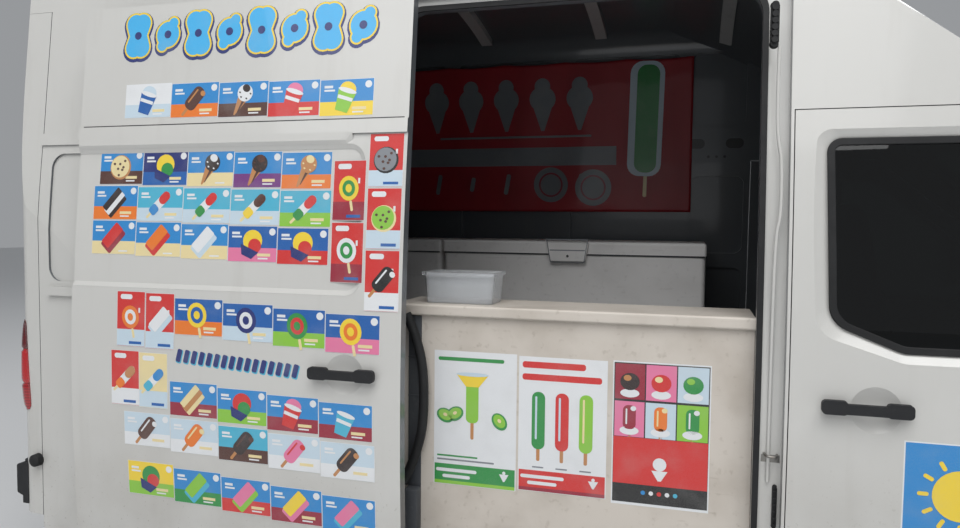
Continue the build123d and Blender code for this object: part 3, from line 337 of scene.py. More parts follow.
class Print:
    """Flat inked shapes in millimetres, laid on what faces the kerb, each layer proud of the last."""

    step = 0.35 * mm

    def __init__(self, carrier, lift=0.0):
        self.skin = skin_of(carrier)
        self.form = bmesh.new()
        self.layer = self.form.verts.layers.float.new("layer")
        self.lift = lift
        self.seat = None
        self.last = 0.0

    def under(self, x, z):
        """Y under a place, all in metres: the seat of a stiff card, or else the skin."""
        if self.seat:
            middle, foot, across, up = self.seat
            return middle + across * (x - foot[0]) + up * (z - foot[1])
        hit = self.skin.ray_cast(Vector((x, -far_out, z)), Vector((0, 1, 0)))[0]
        self.last = hit.y if hit else self.last
        return self.last

    def seat_card(self, *place):
        """Flat seat through a card's corners, lifted clear of what pokes through it."""
        x, z, wide, tall = (length * mm for length in place)
        self.seat = None
        ends = [[self.under(x + side * wide / 2, z + end * tall / 2) for end in (-1, 1)] for side in (-1, 1)]
        across = (sum(ends[1]) - sum(ends[0])) / 2 / wide
        up = (ends[0][1] + ends[1][1] - ends[0][0] - ends[1][0]) / 2 / tall
        middle = (sum(ends[0]) + sum(ends[1])) / 4
        spots = [(wide * (i / 6 - 0.5), tall * (j / 6 - 0.5)) for i in range(7) for j in range(7)]
        poke = max(middle + across * a + up * b - self.under(x + a, z + b) for a, b in spots)
        self.seat = (middle - max(poke, 0), (x, z), across, up)

    def settle(self, verts):
        for vert in verts:
            vert.co.y = self.under(vert.co.x, vert.co.z) - self.lift - vert[self.layer] * self.step

    def drape(self, pitch):
        """Cuts the shapes on a square grid, its pitch in metres, and lays them on a skin that ripples."""
        for axis in (0, 2):
            low = min(vert.co[axis] for vert in self.form.verts)
            high = max(vert.co[axis] for vert in self.form.verts)
            normal = Vector((axis == 0, 0, axis == 2))
            for place in range(1, int((high - low) / pitch) + 1):
                whole = self.form.verts[:] + self.form.edges[:] + self.form.faces[:]
                cut = normal * (low + place * pitch)
                bmesh.ops.bisect_plane(self.form, geom=whole, plane_co=cut, plane_no=normal)
        self.settle(self.form.verts)

    def lay(self, made, x, z, wide, tall, turn, ink, layer):
        turned = Matrix.Rotation(turn, 4, "Y") @ Matrix.Diagonal((wide / 2 * mm, 1, tall / 2 * mm, 1))
        verts = made["verts"]
        bmesh.ops.transform(self.form, verts=verts, matrix=Matrix.Translation((x * mm, 0, z * mm)) @ turned)
        for vert in verts:
            vert[self.layer] = layer
        self.settle(verts)
        for face in {face for vert in verts for face in vert.link_faces}:
            face.material_index = ink_order.index(ink)

    def grid(self, rows=1, size=upright):
        return bmesh.ops.create_grid(self.form, x_segments=1, y_segments=rows, size=1, matrix=size)

    def panel(self, x, z, wide, tall, ink, layer, turn=0.0, cuts=1):
        self.lay(self.grid(cuts), x, z, wide, tall, turn, ink, layer)

    def disc(self, x, z, wide, tall, ink, layer, turn=0.0, sides=20):
        flat = upright @ Matrix.Rotation(math.pi / sides, 4, "Z")
        made = bmesh.ops.create_circle(self.form, cap_ends=True, segments=sides, radius=1, matrix=flat)
        self.lay(made, x, z, wide, tall, turn, ink, layer)

    def lozenge(self, x, z, wide, tall, ink, layer, turn=0.0, round_end=0.5, steps=5):
        """Bar with rounded corners, round_end times its width across each corner."""
        made = self.grid(size=upright @ Matrix.Diagonal((wide / 2, tall / 2, 1, 1)))
        radius = min(wide, tall) * round_end * 0.98
        self.lay(ease(self.form, made["verts"], radius, steps), x, z, 2, 2, turn, ink, layer)

    def wedge(self, x, z, wide, tall, ink, layer, turn=0.0, foot=1.0):
        """Panel whose foot is a share of its top's width."""
        made = self.grid()
        for vert in made["verts"]:
            if vert.co.z < 0:
                vert.co.x *= foot
        self.lay(made, x, z, wide, tall, turn, ink, layer)

    def draw(self, motif, x, z, size, treat, trim, turn=None):
        """A frozen treat in two inks, turned about its middle."""
        usual_turn, shapes = treats[motif]
        turn = usual_turn if turn is None else turn
        for kind, right, up, wide, tall, ink, layer, *last in shapes:
            across = x + size * (right * math.cos(turn) + up * math.sin(turn))
            above = z + size * (up * math.cos(turn) - right * math.sin(turn))
            ink = {"treat": treat, "trim": trim}.get(ink, ink)
            getattr(self, kind)(across, above, size * wide, size * tall, ink, layer, turn, *last)

    def stick_to(self, name, slot, body="body"):
        bmesh.ops.recalc_face_normals(self.form, faces=self.form.faces)
        for face in self.form.faces:
            if face.normal.y > 0:
                face.normal_flip()
        piece = add_piece(name, self.form, body, slot, *ink_finishes)
        piece.modifiers.new("vinyl", "SOLIDIFY").thickness = self.step * 0.7


# Each treat has its usual turn, then its shapes: kind, place and size as shares of the treat's size, ink,
# layer, and the last value of its kind.
treats = {
    "stick_bar": (0.7, (
        ("lozenge", 0, -0.42, 0.09, 0.34, "tan", 3, 0.45), ("lozenge", 0, 0.06, 0.4, 0.76, "treat", 4, 0.42),
        ("lozenge", -0.09, 0.08, 0.05, 0.5, "trim", 5, 0.5),
        ("disc", 0.12, 0.34, 0.18, 0.16, "trim", 5, 10))),
    "cone": (0.5, (
        ("wedge", 0, -0.2, 0.36, 0.62, "tan", 3, 0.12), ("wedge", 0.06, -0.16, 0.1, 0.5, "brown", 4, 0.2),
        ("disc", 0, 0.2, 0.5, 0.5, "treat", 5), ("disc", -0.03, 0.34, 0.26, 0.22, "trim", 6, 12),
        ("disc", -0.16, 0.14, 0.07, 0.05, "trim", 6, 6), ("disc", 0.12, 0.08, 0.07, 0.05, "trim", 6, 6),
        ("disc", 0.17, 0.26, 0.07, 0.05, "trim", 6, 6), ("disc", -0.06, 0.04, 0.07, 0.05, "trim", 6, 6))),
    "cup": (0.3, (
        ("disc", 0, 0.24, 0.5, 0.42, "trim", 3), ("wedge", 0, -0.1, 0.56, 0.6, "treat", 4, 0.68),
        ("panel", 0, -0.02, 0.46, 0.1, "white", 5), ("disc", 0, 0.2, 0.58, 0.14, "white", 5, 14))),
    "rocket": (0.8, (
        ("lozenge", 0, -0.46, 0.08, 0.26, "cream", 3, 0.45),
        ("lozenge", 0, 0.04, 0.27, 0.86, "white", 4, 0.5),
        ("lozenge", 0, 0.26, 0.27, 0.42, "treat", 5, 0.5),
        ("lozenge", 0, -0.24, 0.27, 0.3, "trim", 5, 0.3))),
    "sandwich": (0.75, (
        ("lozenge", 0.1, -0.02, 0.3, 0.8, "treat", 3, 0.15), ("lozenge", 0, 0, 0.24, 0.82, "trim", 4, 0.1),
        ("lozenge", -0.13, 0.02, 0.2, 0.8, "treat", 5, 0.15))),
    "brick": (0.75, (
        ("lozenge", 0.04, -0.02, 0.46, 0.84, "trim", 3, 0.14),
        ("lozenge", -0.05, 0.03, 0.34, 0.78, "treat", 4, 0.14))),
    "swirl": (0.4, (
        ("disc", 0, 0.1, 0.62, 0.62, "treat", 3), ("disc", 0.12, 0, 0.42, 0.4, "trim", 4),
        ("wedge", 0, -0.26, 0.62, 0.26, "navy", 5, 0.55))),
    "cookie": (0.0, (
        ("disc", 0, 0, 0.74, 0.74, "trim", 3), ("disc", -0.02, 0.02, 0.66, 0.66, "treat", 4),
        *(("disc", reach * math.cos(drop * 0.9), reach * math.sin(drop * 0.9), 0.09, 0.08, "brown", 5, 7)
          for drop, reach in enumerate((0.1, 0.24, 0.1, 0.24, 0.1, 0.24, 0.1))))),
    "ring_pop": (-0.2, (
        ("lozenge", 0, -0.44, 0.08, 0.3, "cream", 3, 0.45), ("disc", 0, 0.06, 0.62, 0.7, "treat", 4),
        ("disc", 0, 0.06, 0.4, 0.46, "trim", 5), ("disc", 0, 0.06, 0.2, 0.24, "treat", 6, 12))),
}
# Lines printed on a wide card and on a tall one: place and size as shares of the card's, and ink.
wide_lines = (
    (-0.34, 0.3, 0.16, 0.07, "white"), (-0.32, 0.2, 0.2, 0.05, "white"),
    (0.24, -0.3, 0.26, 0.08, "cream"), (0.22, -0.4, 0.2, 0.04, "white"),
)
tall_lines = ((0.3, 0.16, 0.06, 0.09, "white"), (0.16, -0.43, 0.44, 0.05, "blue"))


def card(cards, x, z, wide, tall, look):
    """One card, centred at x, z. Its lower part has a second ground and its corner a price spot."""
    motif, ground, field, treat, trim = look.split()
    frame_width = 2.5
    cards.seat_card(x, z, wide, tall)
    cards.panel(x, z, wide, tall, "white", 1, cuts=2)
    cards.panel(x, z, wide - frame_width, tall - frame_width, ground, 2, cuts=2)
    if wide > tall:
        cards.panel(x, z - tall * 0.3, wide - frame_width, tall * 0.38, field, 2.4)
        cards.disc(x + wide * 0.4, z + tall * 0.34, tall * 0.2, tall * 0.2, "white", 3, sides=14)
    else:
        cards.panel(x, z - tall * 0.34, wide - frame_width, tall * 0.3, field, 2.4)
        cards.lozenge(x - wide * 0.16, z + tall * 0.4, wide * 0.42, tall * 0.09, "white", 3, 0, 0.45)
    for right, up, length, thick, ink in wide_lines if wide > tall else tall_lines:
        cards.panel(x + wide * right, z + tall * up, wide * length, tall * thick, ink, 3)
    cards.draw(motif, x - (wide * 0.02 if wide > tall else 0), z, min(wide, tall) * 0.98, treat, trim)


door_rear, door_front = (corner.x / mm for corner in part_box("sliding_door"))
card_rows = (
    # first edge and top of a row, size of a card, fall per metre, and for each card its motif, its two
    # grounds and its two inks
    (1145, 2134, 203, 128, 22,
     "cup white ice blue ice, stick_bar sky orange brown tan, cone sky brown white cocoa, "
     "cup sky red red pink, cup sky yellow lime yellow"),
    (1247, 1888, 194, 129, 26,
     "cookie sky brown cream tan, swirl navy blue yellow green, cone sky cream cocoa white, "
     "cone sky purple cocoa brown, cone sky orange tan cream"),
    (1268, 1755, 199, 128, 25,
     "sandwich sky orange cocoa white, rocket aqua ice red sky, rocket aqua ice red green, "
     "rocket aqua ice brown yellow, rocket aqua lime red green"),
    (1268, 1625, 198, 128, 26,
     "brick sky cream red crimson, brick sky cream orange red, brick sky cream white ice, "
     "swirl blue pink yellow red, swirl blue red yellow red"),
    (883, 1348, 202, 133, 50,
     "ring_pop blue orange yellow blue, ring_pop blue ice navy white, "
     "ring_pop blue lime green red, ring_pop blue pink yellow orange"),
    (903, 1044, 201, 126, 50,
     "sandwich sky crimson cream tan, swirl sky lime red green, cup sky crimson red pink, "
     "cup sky crimson aqua sky"),
    (1106, 918, 203, 126, 50,
     "stick_bar ice white brown white, stick_bar ice white orange cream, "
     "stick_bar aqua brown cocoa brown, stick_bar ice white pink red, "
     "stick_bar ice white cocoa tan"),
    (1095, 733, 201, 128, 55,
     "swirl yellow lime green red, brick sky green lime aqua, brick sky red pink lime, "
     "brick sky crimson yellow pink, brick sky sky pink aqua"),
)
tall_cards = (
    # first edge, top, height, and the card
    (268, 1833, 204, "ring_pop red crimson yellow green"),
    (268, 1622, 204, "ring_pop red crimson white green"),
    (135, 1922, 180, "cookie red ice grey black"),
    (135, 1738, 204, "cookie red ice lime cream"),
    (135, 1530, 204, "stick_bar red white black white"),
    (1135, 1360, 204, "ring_pop red ice orange white"),
    (1008, 1357, 204, "brick red ice white ice"),
    (1160, 1140, 204, "rocket red white tan orange"),
    (1036, 1137, 204, "rocket cream ice sky aqua"),
)
cards = Print(solids["sliding_door"])
for first, top, wide, tall, fall, row in card_rows:
    for place, look in enumerate(row.split(", ")):
        along = wide * (place + 0.5)
        x, z = door_front - first + along, top - tall / 2 - fall * along * mm
        card(cards, x, z, wide - 1, tall - 1, look)
for first, top, tall, look in tall_cards:
    card(cards, door_front - first + 62, top - tall / 2, 124, tall, look)
cards.stick_to("treat_cards", "body_white")


# Over the cards the door carries a band of plain ornament in sky blue with yellow and navy outlines, and
# beside its handle a row of small navy lozenges.
band = Print(solids["sliding_door"])
for place in range(8):
    x, z = door_front - 1105 + place * 132, 2316 - place * 2.5
    tall = (168, 134)[place % 2]
    for grow, drop, ink, layer in ((26, 6, "navy", 1), (13, 0, "yellow", 2), (0, 0, "azure", 3)):
        if place % 2:
            band.disc(x, z - drop, tall * 0.72 + grow, tall * 0.72 + grow, ink, layer)
            band.lozenge(x, z - drop, tall * 0.3 + grow, tall + grow, ink, layer + 0.5, 0.5)
        else:
            band.lozenge(x, z - drop, 72 + grow, tall + grow, ink, layer, 0.35)
            band.lozenge(x, z - drop, 72 + grow, tall + grow, ink, layer + 0.5, -0.35)
    band.disc(x, z, 30, 30, "navy", 5, sides=12)
for place in range(16):
    x, z = door_front - 862 + place * 31.5, 1134 - place * 1.8
    band.lozenge(x + 2, z - 3, 24, 52, "aqua", 1, 0.25, 0.3, 3)
    band.lozenge(x, z, 20, 48, "navy", 2, 0.25, 0.3, 3)
band.stick_to("door_ornament", "body_white")


# Pressings of the sides: a slanted lip runs round each stamped field from the skin down to its floor, a
# skirt falls from the ledge onto the door's field, and a fine joint line lies on the ledge. Places along
# the van are counted backwards from the seam behind the front door, in millimetres.
seam = 345
sides = {"left": 1, "right": -1}


def keep_rim(form, thickness):
    """Leaves a strip of even width along the border of a flat sheet."""
    ring = {"thickness": thickness, "use_boundary": True, "use_even_offset": True}
    strip = bmesh.ops.inset_region(form, faces=form.faces[:], **ring)["faces"]
    bmesh.ops.delete(form, geom=[face for face in form.faces if face not in strip], context="FACES_ONLY")


def face_towards(form, direction):
    """Turns a sheet so that most of its faces look one way."""
    bmesh.ops.recalc_face_normals(form, faces=form.faces[:])
    if sum(face.normal.dot(direction) for face in form.faces) < 0:
        bmesh.ops.reverse_faces(form, faces=form.faces[:])


def pressed_lip(name, carrier, side, rear, front, cut=None):
    """Lip round the field between two stations, in millimetres, cut off behind a station if one is given."""
    low, high, radius, slope = 1374, 1890, 60, 17
    form = bmesh.new()
    middle = Vector(((rear + front) / 2, 0, (low + high) / 2))
    half = Vector(((front - rear) / 2, 0, (high - low) / 2))
    flat = Matrix.Translation(middle) @ upright @ Matrix.Diagonal((half.x, half.z, 1, 1))
    verts = bmesh.ops.create_grid(form, x_segments=1, y_segments=1, size=1, matrix=flat)["verts"]
    ease(form, verts, radius, 9)
    long_edges = [edge for edge in form.edges if edge.calc_length() > 100]
    bmesh.ops.subdivide_edges(form, edges=long_edges, cuts=12)
    keep_rim(form, slope)
    if cut is not None:
        whole = form.verts[:] + form.edges[:] + form.faces[:]
        bmesh.ops.bisect_plane(form, geom=whole, plane_co=(cut, 0, 0), plane_no=(1, 0, 0), clear_inner=True)
    skin = skin_of(solids[carrier])
    last = 0.985
    for vert in form.verts:
        place = vert.co - middle
        reach = [max(abs(place[a]) - half[a] + radius * (a != 1), 0) for a in range(3)]
        past = Vector([math.copysign(reach[a], place[a]) for a in range(3)])
        outer = past.length > radius - slope / 2
        probe = vert.co + past.normalized() * (5 if outer else -5)
        start = Vector((probe.x * mm, side * far_out, probe.z * mm))
        hit = skin.ray_cast(start, Vector((0, -side, 0)))[0]
        last = abs(hit.y) if hit else last
        vert.co = Vector((vert.co.x * mm, side * (last + 0.4 * mm), vert.co.z * mm))
    face_towards(form, Vector((0, side, 0)))
    add_piece(name, form, "body", "body_white", white_paint)


pressed_lip("door_field_lip", "sliding_door", -1, door_rear - 90, door_front - 150, door_rear + 3)
pressed_lip("left_field_lip_rear", "left_side_panel", 1, seam - 2803, seam - 1420)
pressed_lip("left_field_lip_front", "left_side_panel", 1, seam - 1340, seam - 130)
joint = Print(solids["sliding_door"])
skirt = bmesh.new()
bmesh.ops.create_grid(skirt, x_segments=50, y_segments=2, size=0.5)
skirt_rear, skirt_length, skirt_proud, close = door_rear + 6, door_front - 205 - door_rear, 8, 0.5
for vert in skirt.verts:
    share, row = vert.co.x + 0.5, round(vert.co.y * 2) + 1
    x, z = (skirt_rear + share * skirt_length) * mm, (1890, 1903, 1929)[row] * mm
    proud = (close, skirt_proud * min(1, (1 - share) * 40), close)[row] * mm
    vert.co = Vector((x, joint.under(x, z) - proud, z))
add_piece("ledge_skirt", skirt, "body", "body_white", white_paint)
joint.panel((door_front + door_rear) / 2, 1976, door_front - door_rear - 30, 4, "black", 1)
joint.stick_to("ledge_joint", "rubber_black")


# The front door has one large blue sticker under its handle, with a plain sun and two cones on it.
sticker = Print(solids["front_door_right"])
left, top = 663, 1004
for border, ink, layer in ((0, "white", 1), (8, "sky", 2)):
    sticker.panel(left + 260, top - 205, 522 - border, 412 - border, ink, layer, cuts=6)
sun_x, sun_z, sun_reach = left + 150, top - 150, 98
sticker.disc(sun_x, sun_z, 150, 150, "yellow", 4, sides=28)
for ray in range(12):
    angle = ray * math.pi / 6
    x, z = sun_x + sun_reach * math.cos(angle), sun_z + sun_reach * math.sin(angle)
    sticker.lozenge(x, z, 12, 30, "yellow", 4, math.pi / 2 - angle, 0.45, 3)
sticker.draw("cone", left + 330, top - 230, 240, "pink", "white", 0.2)
sticker.draw("cone", left + 440, top - 215, 200, "white", "red", -0.15)
for bar, (wide, ink) in enumerate(((300, "white"), (240, "yellow"), (180, "navy"))):
    sticker.lozenge(left + 190, top - 300 - bar * 28, wide, 12, ink, 4, 0, 0.45, 3)
sticker.stick_to("front_door_sticker", "body_white", "front_door_right")


# Three paper posters are taped to the counter's front: fruit and a lolly over a green foot, three ice
# pops over a red foot, and six small pictures over red and black feet.
def coloured_foot(paper, x, low, wide, foot, edge):
    """Foot of a poster: a glass and two lines on a coloured band."""
    paper.panel(x, low + 38, wide - 6, 72, foot, 2)
    paper.panel(x, low + 8, wide - 6, 12, edge, 3)
    paper.wedge(x + wide * 0.36, low + 42, 34, 26, "white", 3, 0, 0.15)
    paper.disc(x + wide * 0.36, low + 60, 12, 12, "white", 3, sides=10)
    for line, share in enumerate((0.5, 0.34)):
        paper.lozenge(x - wide * 0.22, low + 52 - line * 22, wide * share, 12, "white", 3, 0, 0.45, 3)


def fruit_poster(paper, x, z, wide, tall):
    low, glass = z - tall / 2, x - wide * 0.03
    coloured_foot(paper, x, low, wide, "green", "lime")
    paper.lozenge(x - wide * 0.05, z + tall * 0.44, wide * 0.8, 13, "green", 2, 0, 0.45, 3)
    paper.lozenge(glass, z - 32, 12, 80, "tan", 2, 0, 0.4, 3)
    paper.lozenge(glass, z + 62, 46, 150, "lime", 3, 0, 0.4)
    paper.wedge(glass, z + 138, 118, 44, "yellow", 4, 0, 0.4)
    paper.disc(glass, z + 160, 120, 14, "ice", 5)
    for across, up, turn in ((-0.36, 8, 0.4), (-0.24, 16, -0.5), (0.3, 0, 0.9)):
        fruit = x + wide * across
        paper.disc(fruit, z + up, 66, 50, "green", 4, turn)
        paper.disc(fruit, z + up + 2, 52, 37, "lime", 5, turn)
        paper.disc(fruit, z + up + 3, 16, 12, "cream", 6, turn, 10)
    for share, up, ink in ((0.5, 104, "green"), (0.7, 90, "grey")):
        paper.lozenge(x - wide * (0.46 - share / 2), low + up, wide * share, 6, ink, 2, 0, 0.4, 2)


def pops_poster(paper, x, z, wide, tall):
    low = z - tall / 2
    coloured_foot(paper, x, low, wide, "red", "crimson")
    for share, up in ((0.72, 0.44), (0.9, 0.35)):
        paper.lozenge(x - wide * (0.46 - share / 2), z + tall * up, wide * share, 22, "red", 2, 0, 0.4, 4)
    for pop, (ink, shine) in enumerate((("green", "ice"), ("red", "ice"), ("lime", "cream"))):
        stick = x + (pop - 1) * wide * 0.27
        paper.lozenge(stick, z - tall * 0.2, 12, 66, "tan", 2, 0, 0.4, 3)
        paper.lozenge(stick, z + tall * 0.03, 46, 200, ink, 3, 0, 0.48)
        paper.lozenge(stick - 8, z + tall * 0.05, 7, 150, shine, 4, 0, 0.48, 3)
        paper.lozenge(stick, low + 86, 40, 5, "grey", 2, 0, 0.4, 2)


def pictures_poster(paper, x, z, wide, tall):
    low = z - tall / 2
    paper.panel(x, z + 2, wide - 8, tall - 14, "black", 2)
    paper.panel(x, low + tall * 0.312, wide - 10, tall * 0.325, "red", 3)
    for cell, (ground, treat, trim) in enumerate((
        ("crimson", "cocoa", "tan"), ("pink", "red", "cream"), ("ice", "green", "lime"),
        ("pink", "crimson", "white"), ("ice", "orange", "cream"), ("lime", "green", "white"),
    )):
        across, up = x + (cell % 3 - 1) * (wide - 10) / 3, z + tall * (0.36 if cell < 3 else 0.1)
        paper.panel(across, up, (wide - 22) / 3, tall * 0.245, ground, 3)
        paper.disc(across, up - tall * 0.08, wide * 0.2, tall * 0.06, "white", 4)
        if cell < 3:
            paper.disc(across, up, 64, 58, treat, 5)
            paper.disc(across - 8, up + 12, 26, 20, trim, 6, sides=12)
        else:
            paper.draw("stick_bar", across, up, 106, treat, trim, 0.0)
    for dot, ink in enumerate(("sky", "white", "red", "white", "aqua")):
        paper.disc(x + (dot - 2) * 26, low + 46, 15, 15, ink, 4, sides=10)
    paper.disc(x, low + tall * 0.3, 44, 44, "white", 4)
    paper.wedge(x, low + tall * 0.22, 52, 34, "white", 4, 0, 0.2)


paper = Print(solids["serving_counter"])
for rear, top, front, base, poster in (
    (1168, 1172, 860, 690, fruit_poster), (858, 1168, 548, 698, pops_poster),
    (536, 1172, 216, 688, pictures_poster),
):
    place = (seam - (rear + front) / 2, (top + base) / 2, rear - front - 6, top - base)
    paper.panel(*place, "white", 1)
    poster(paper, *place)
paper.stick_to("counter_posters", "counter_board")


# Counter, shelf and freezers: white laminate gone cream with handling, grubby in patches and scuffed
# in streaks, and freezers in stove enamel.
def laminate(name, colour, grime, share):
    board = Finish(name, {})
    smear = board.noise(4.2, 6).rise(0.42, 0.8, share) + board.noise(38, 5).rise(0.58, 0.74, share * 0.7)
    scuff = board.noise(60, 3, (0.15, 1, 1)).rise(0.66, 0.76, share * 0.5)
    board.cover(smear + scuff, colour, grime, board.noise(12, 3) * 0.2 + 0.38)
    board.bump(board.noise(260, 3), 0.0004, 0.3)
    return board


counter_board = laminate("counter_board", (206, 198, 188), (146, 133, 117), 0.4)
freezer_white = laminate("freezer_white", (240, 238, 236), (150, 145, 140), 0.2)
dress(counter_board, "serving_counter")
dress(freezer_white, "freezer", "freezer_lid", "rear_freezer", "rear_freezer_lid")
clear_plastic = Finish("clear_plastic", {"Transmission Weight": 0.78, "IOR": 1.25})
clear_plastic.give({"Base Color": (242, 244, 246)})
clear_plastic.give({"Roughness": clear_plastic.noise(22, 4).rise(0.3, 0.8, 0.12) + 0.08})
clear_plastic.bump(clear_plastic.noise(16, 2), 0.0003, 0.15)
dress(clear_plastic, "tip_box")


# Vinyl banner fixed to the far wall along its upper edge, slack between the fixings so that it ripples.
# Its pale shapes are printed on.
vinyl_red = Finish("banner_red", {"Coat Weight": 0.25})
# The red darkens in soft upright patches: painted shade of folds in the vinyl.
fold_shade = vinyl_red.noise(5, 5, (1, 1, 0.35))
vinyl_red.cover(fold_shade.rise(0.4, 0.8, 0.35), (168, 34, 44), (108, 18, 28), fold_shade * 0.3 + 0.3)
vinyl_red.bump(vinyl_red.noise(900, 2) + vinyl_red.noise(26, 4) * 2, 0.0008, 0.5)
wall_low, wall_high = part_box("banner")
wall_skin = skin_of(solids["banner"])
border = 8 * mm
wide, tall = wall_high.x - wall_low.x - border, wall_high.z - wall_low.z - border
centre = Matrix.Translation(((wall_low.x + wall_high.x) / 2, 0, (wall_low.z + wall_high.z) / 2))
flat = centre @ upright @ Matrix.Diagonal((wide, tall, 1, 1))
cloth = bmesh.new()
bmesh.ops.create_grid(cloth, x_segments=120, y_segments=56, size=0.5, matrix=flat)
spans, sag, ripple_depth, off_wall = 5, 9 * mm, 4.5, 0.5
for vert in cloth.verts:
    share = (vert.co.x - wall_low.x) / wide
    fall = (wall_high.z - vert.co.z) / tall
    slack = abs(math.sin(share * spans * math.pi))
    ripple = math.sin(share * 23 + fall * 2.6) * math.sin(share * 7.3 + 0.8)
    hit = wall_skin.ray_cast(Vector((vert.co.x, 0, vert.co.z)), Vector((0, 1, 0)))[0]
    ripple *= ripple_depth * min(1, fall * 3 + 0.2)
    vert.co.y = (hit.y if hit else wall_high.y) + (off_wall - ripple) * mm
    vert.co.z -= slack * sag * max(0, 1 - fall * 3)
vinyl_banner = add_piece("vinyl_banner", cloth, "body", "banner_red", vinyl_red)
vinyl_banner.data.shade_smooth()
vinyl_banner.modifiers.new("cloth", "SOLIDIFY").thickness = 0.8 * mm
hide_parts("banner")
motifs = Print(vinyl_banner, 0.6 * mm)
motifs.panel(seam - 1373, 2018, 1324, 104, "grey", 1)
for behind, z, size in ((1084, 1857, 200), (840, 1840, 206)):
    for share, ink, layer, edges in ((1, "grey", 2, 32), (0.7, "crimson", 3, 28), (0.6, "grey", 4, 28)):
        motifs.disc(seam - behind, z, size * share, size * share, ink, layer, sides=edges)
for place in range(5):
    x = seam - 1765 + place * 212
    motifs.wedge(x, 2238, 120, 150, "grey", 2, 0, 0.15)
    motifs.disc(x, 2340, 150, 140, "grey", 3, sides=24)
    motifs.disc(x, 2410, 90, 90, "grey", 4)
    motifs.lozenge(x, 1860, 26, (120, 84)[place % 2], "grey", 2, 0.2, 0.45, 4)
motifs.lozenge(seam - 1300, 2130, 900, 12, "grey", 2, 0, 0.4, 3)
motifs.lozenge(seam - 552, 1862, 20, 150, "cream", 2, 0.03, 0.4, 4)
motifs.lozenge(seam - 552, 2212, 184, 620, "ice", 3, 0.03, 0.36)
motifs.lozenge(seam - 546, 2212, 120, 580, "green", 4, 0.03, 0.42)
motifs.drape(20 * mm)
motifs.stick_to("banner_motifs", "banner_red")


# Every window sits in a black rubber band, bedded on the glass and lapping the steel.
def band_round(name, glass, body, outline, corner, width, sight):
    """Band inside an outline in millimetres, laid on the glass along a line of sight."""
    form = bmesh.new()
    sight = Vector(sight)
    corners = [form.verts.new((0, u * mm, z * mm) if sight.x else (u * mm, 0, z * mm)) for u, z in outline]
    form.faces.new(corners)
    for vert, offset in zip(corners, corner):
        ease(form, [vert], offset * mm, 7)
    bmesh.ops.subdivide_edges(form, edges=[edge for edge in form.edges if edge.calc_length() > 0.1], cuts=8)
    keep_rim(form, width * mm)
    skin, bedding = skin_of(solids[glass]), 5 * mm
    centre = sum((vert.co for vert in form.verts), Vector()) / len(form.verts)
    for vert in form.verts:
        start = vert.co.lerp(centre, 0.03) - sight * far_out
        hit = skin.ray_cast(start, sight)[0]
        vert.co += sight * ((hit - vert.co).dot(sight) - bedding)
    face_towards(form, -sight)
    piece = add_piece(name, form, body, "rubber_black", seal_rubber)
    piece.modifiers.new("rubber", "SOLIDIFY").thickness = 7 * mm
    soft = piece.modifiers.new("edges", "BEVEL")
    soft.width = 2.6 * mm
    soft.segments = 3


cab_window = ((438, 1890), (977, 1890), (1410, 1515), (1410, 1254), (655, 1254), (454, 1335))
cab_corners = (42, 42, 42, 42, 16, 54)
screen = ((-790, 1413), (790, 1413), (700, 2030), (-700, 2030))
tail_window = ((150, 1330), (650, 1330), (620, 1950), (150, 1950))
band_round("screen_band", "windscreen", "body", screen, [70] * 4, 38, (-1, 0, 0))
for name, side in sides.items():
    glass, door = "front_door_glass_" + name, "front_door_" + name
    band_round("window_band_" + name, glass, door, cab_window, cab_corners, 22, (0, -side, 0))
    outline = [(side * y, z) for y, z in tail_window]
    glass, door = "rear_door_glass_" + name, "rear_door_" + name
    band_round("tail_band_" + name, glass, door, outline, [60] * 4, 26, (1, 0, 0))


# Tyres: carcass turned from its section, with a beaded rim line and rings on the sidewall, and a tread
# of five rows of blocks. The rubber greys with dust in patches.
tyre_rubber = Finish("tyre_rubber", {})
dust = tyre_rubber.noise(18, 5).rise(0.4, 0.8, 0.4) + tyre_rubber.noise(3, 3).rise(0.4, 0.7, 0.2)
tyre_rubber.cover(dust, (24, 24, 25), (92, 86, 78), dust * 0.3 + 0.66)
tyre_rubber.bump(tyre_rubber.noise(240, 3), 0.0006, 0.5)
tyre_radius = 0.387
wheel_places = {
    f"{end}_{name}": Vector((x, side * 0.855, tyre_radius))
    for end, x in (("front", 1.675), ("rear", -1.625)) for name, side in sides.items()
}
# Half of the section, from bead to crown: radius and distance from the tyre's middle, in millimetres.
half_section = (
    (203, 86), (212, 92), (222, 98), (240, 106), (262, 113), (266, 115), (270, 114), (292, 119), (312, 121.5),
    (318, 122), (322, 120.5), (340, 120), (356, 117), (366, 112), (374, 102), (379, 90), (379, 60), (379, 30),
    (379, 0),
)
section = [*half_section, *[(r, -y) for r, y in reversed(half_section[:-1])]]
# Each row of the tread: its middle, its width and the lean of its blocks.
tread = ((-84, 24, 0.22), (-44, 30, -0.18), (0, 30, 0.12), (44, 30, 0.18), (84, 24, -0.22))


def smooth(piece, sharp):
    """Shades a piece smooth between edges that are sharper than an angle."""
    piece.data.shade_smooth()
    piece.data.set_sharp_from_angle(angle=sharp)


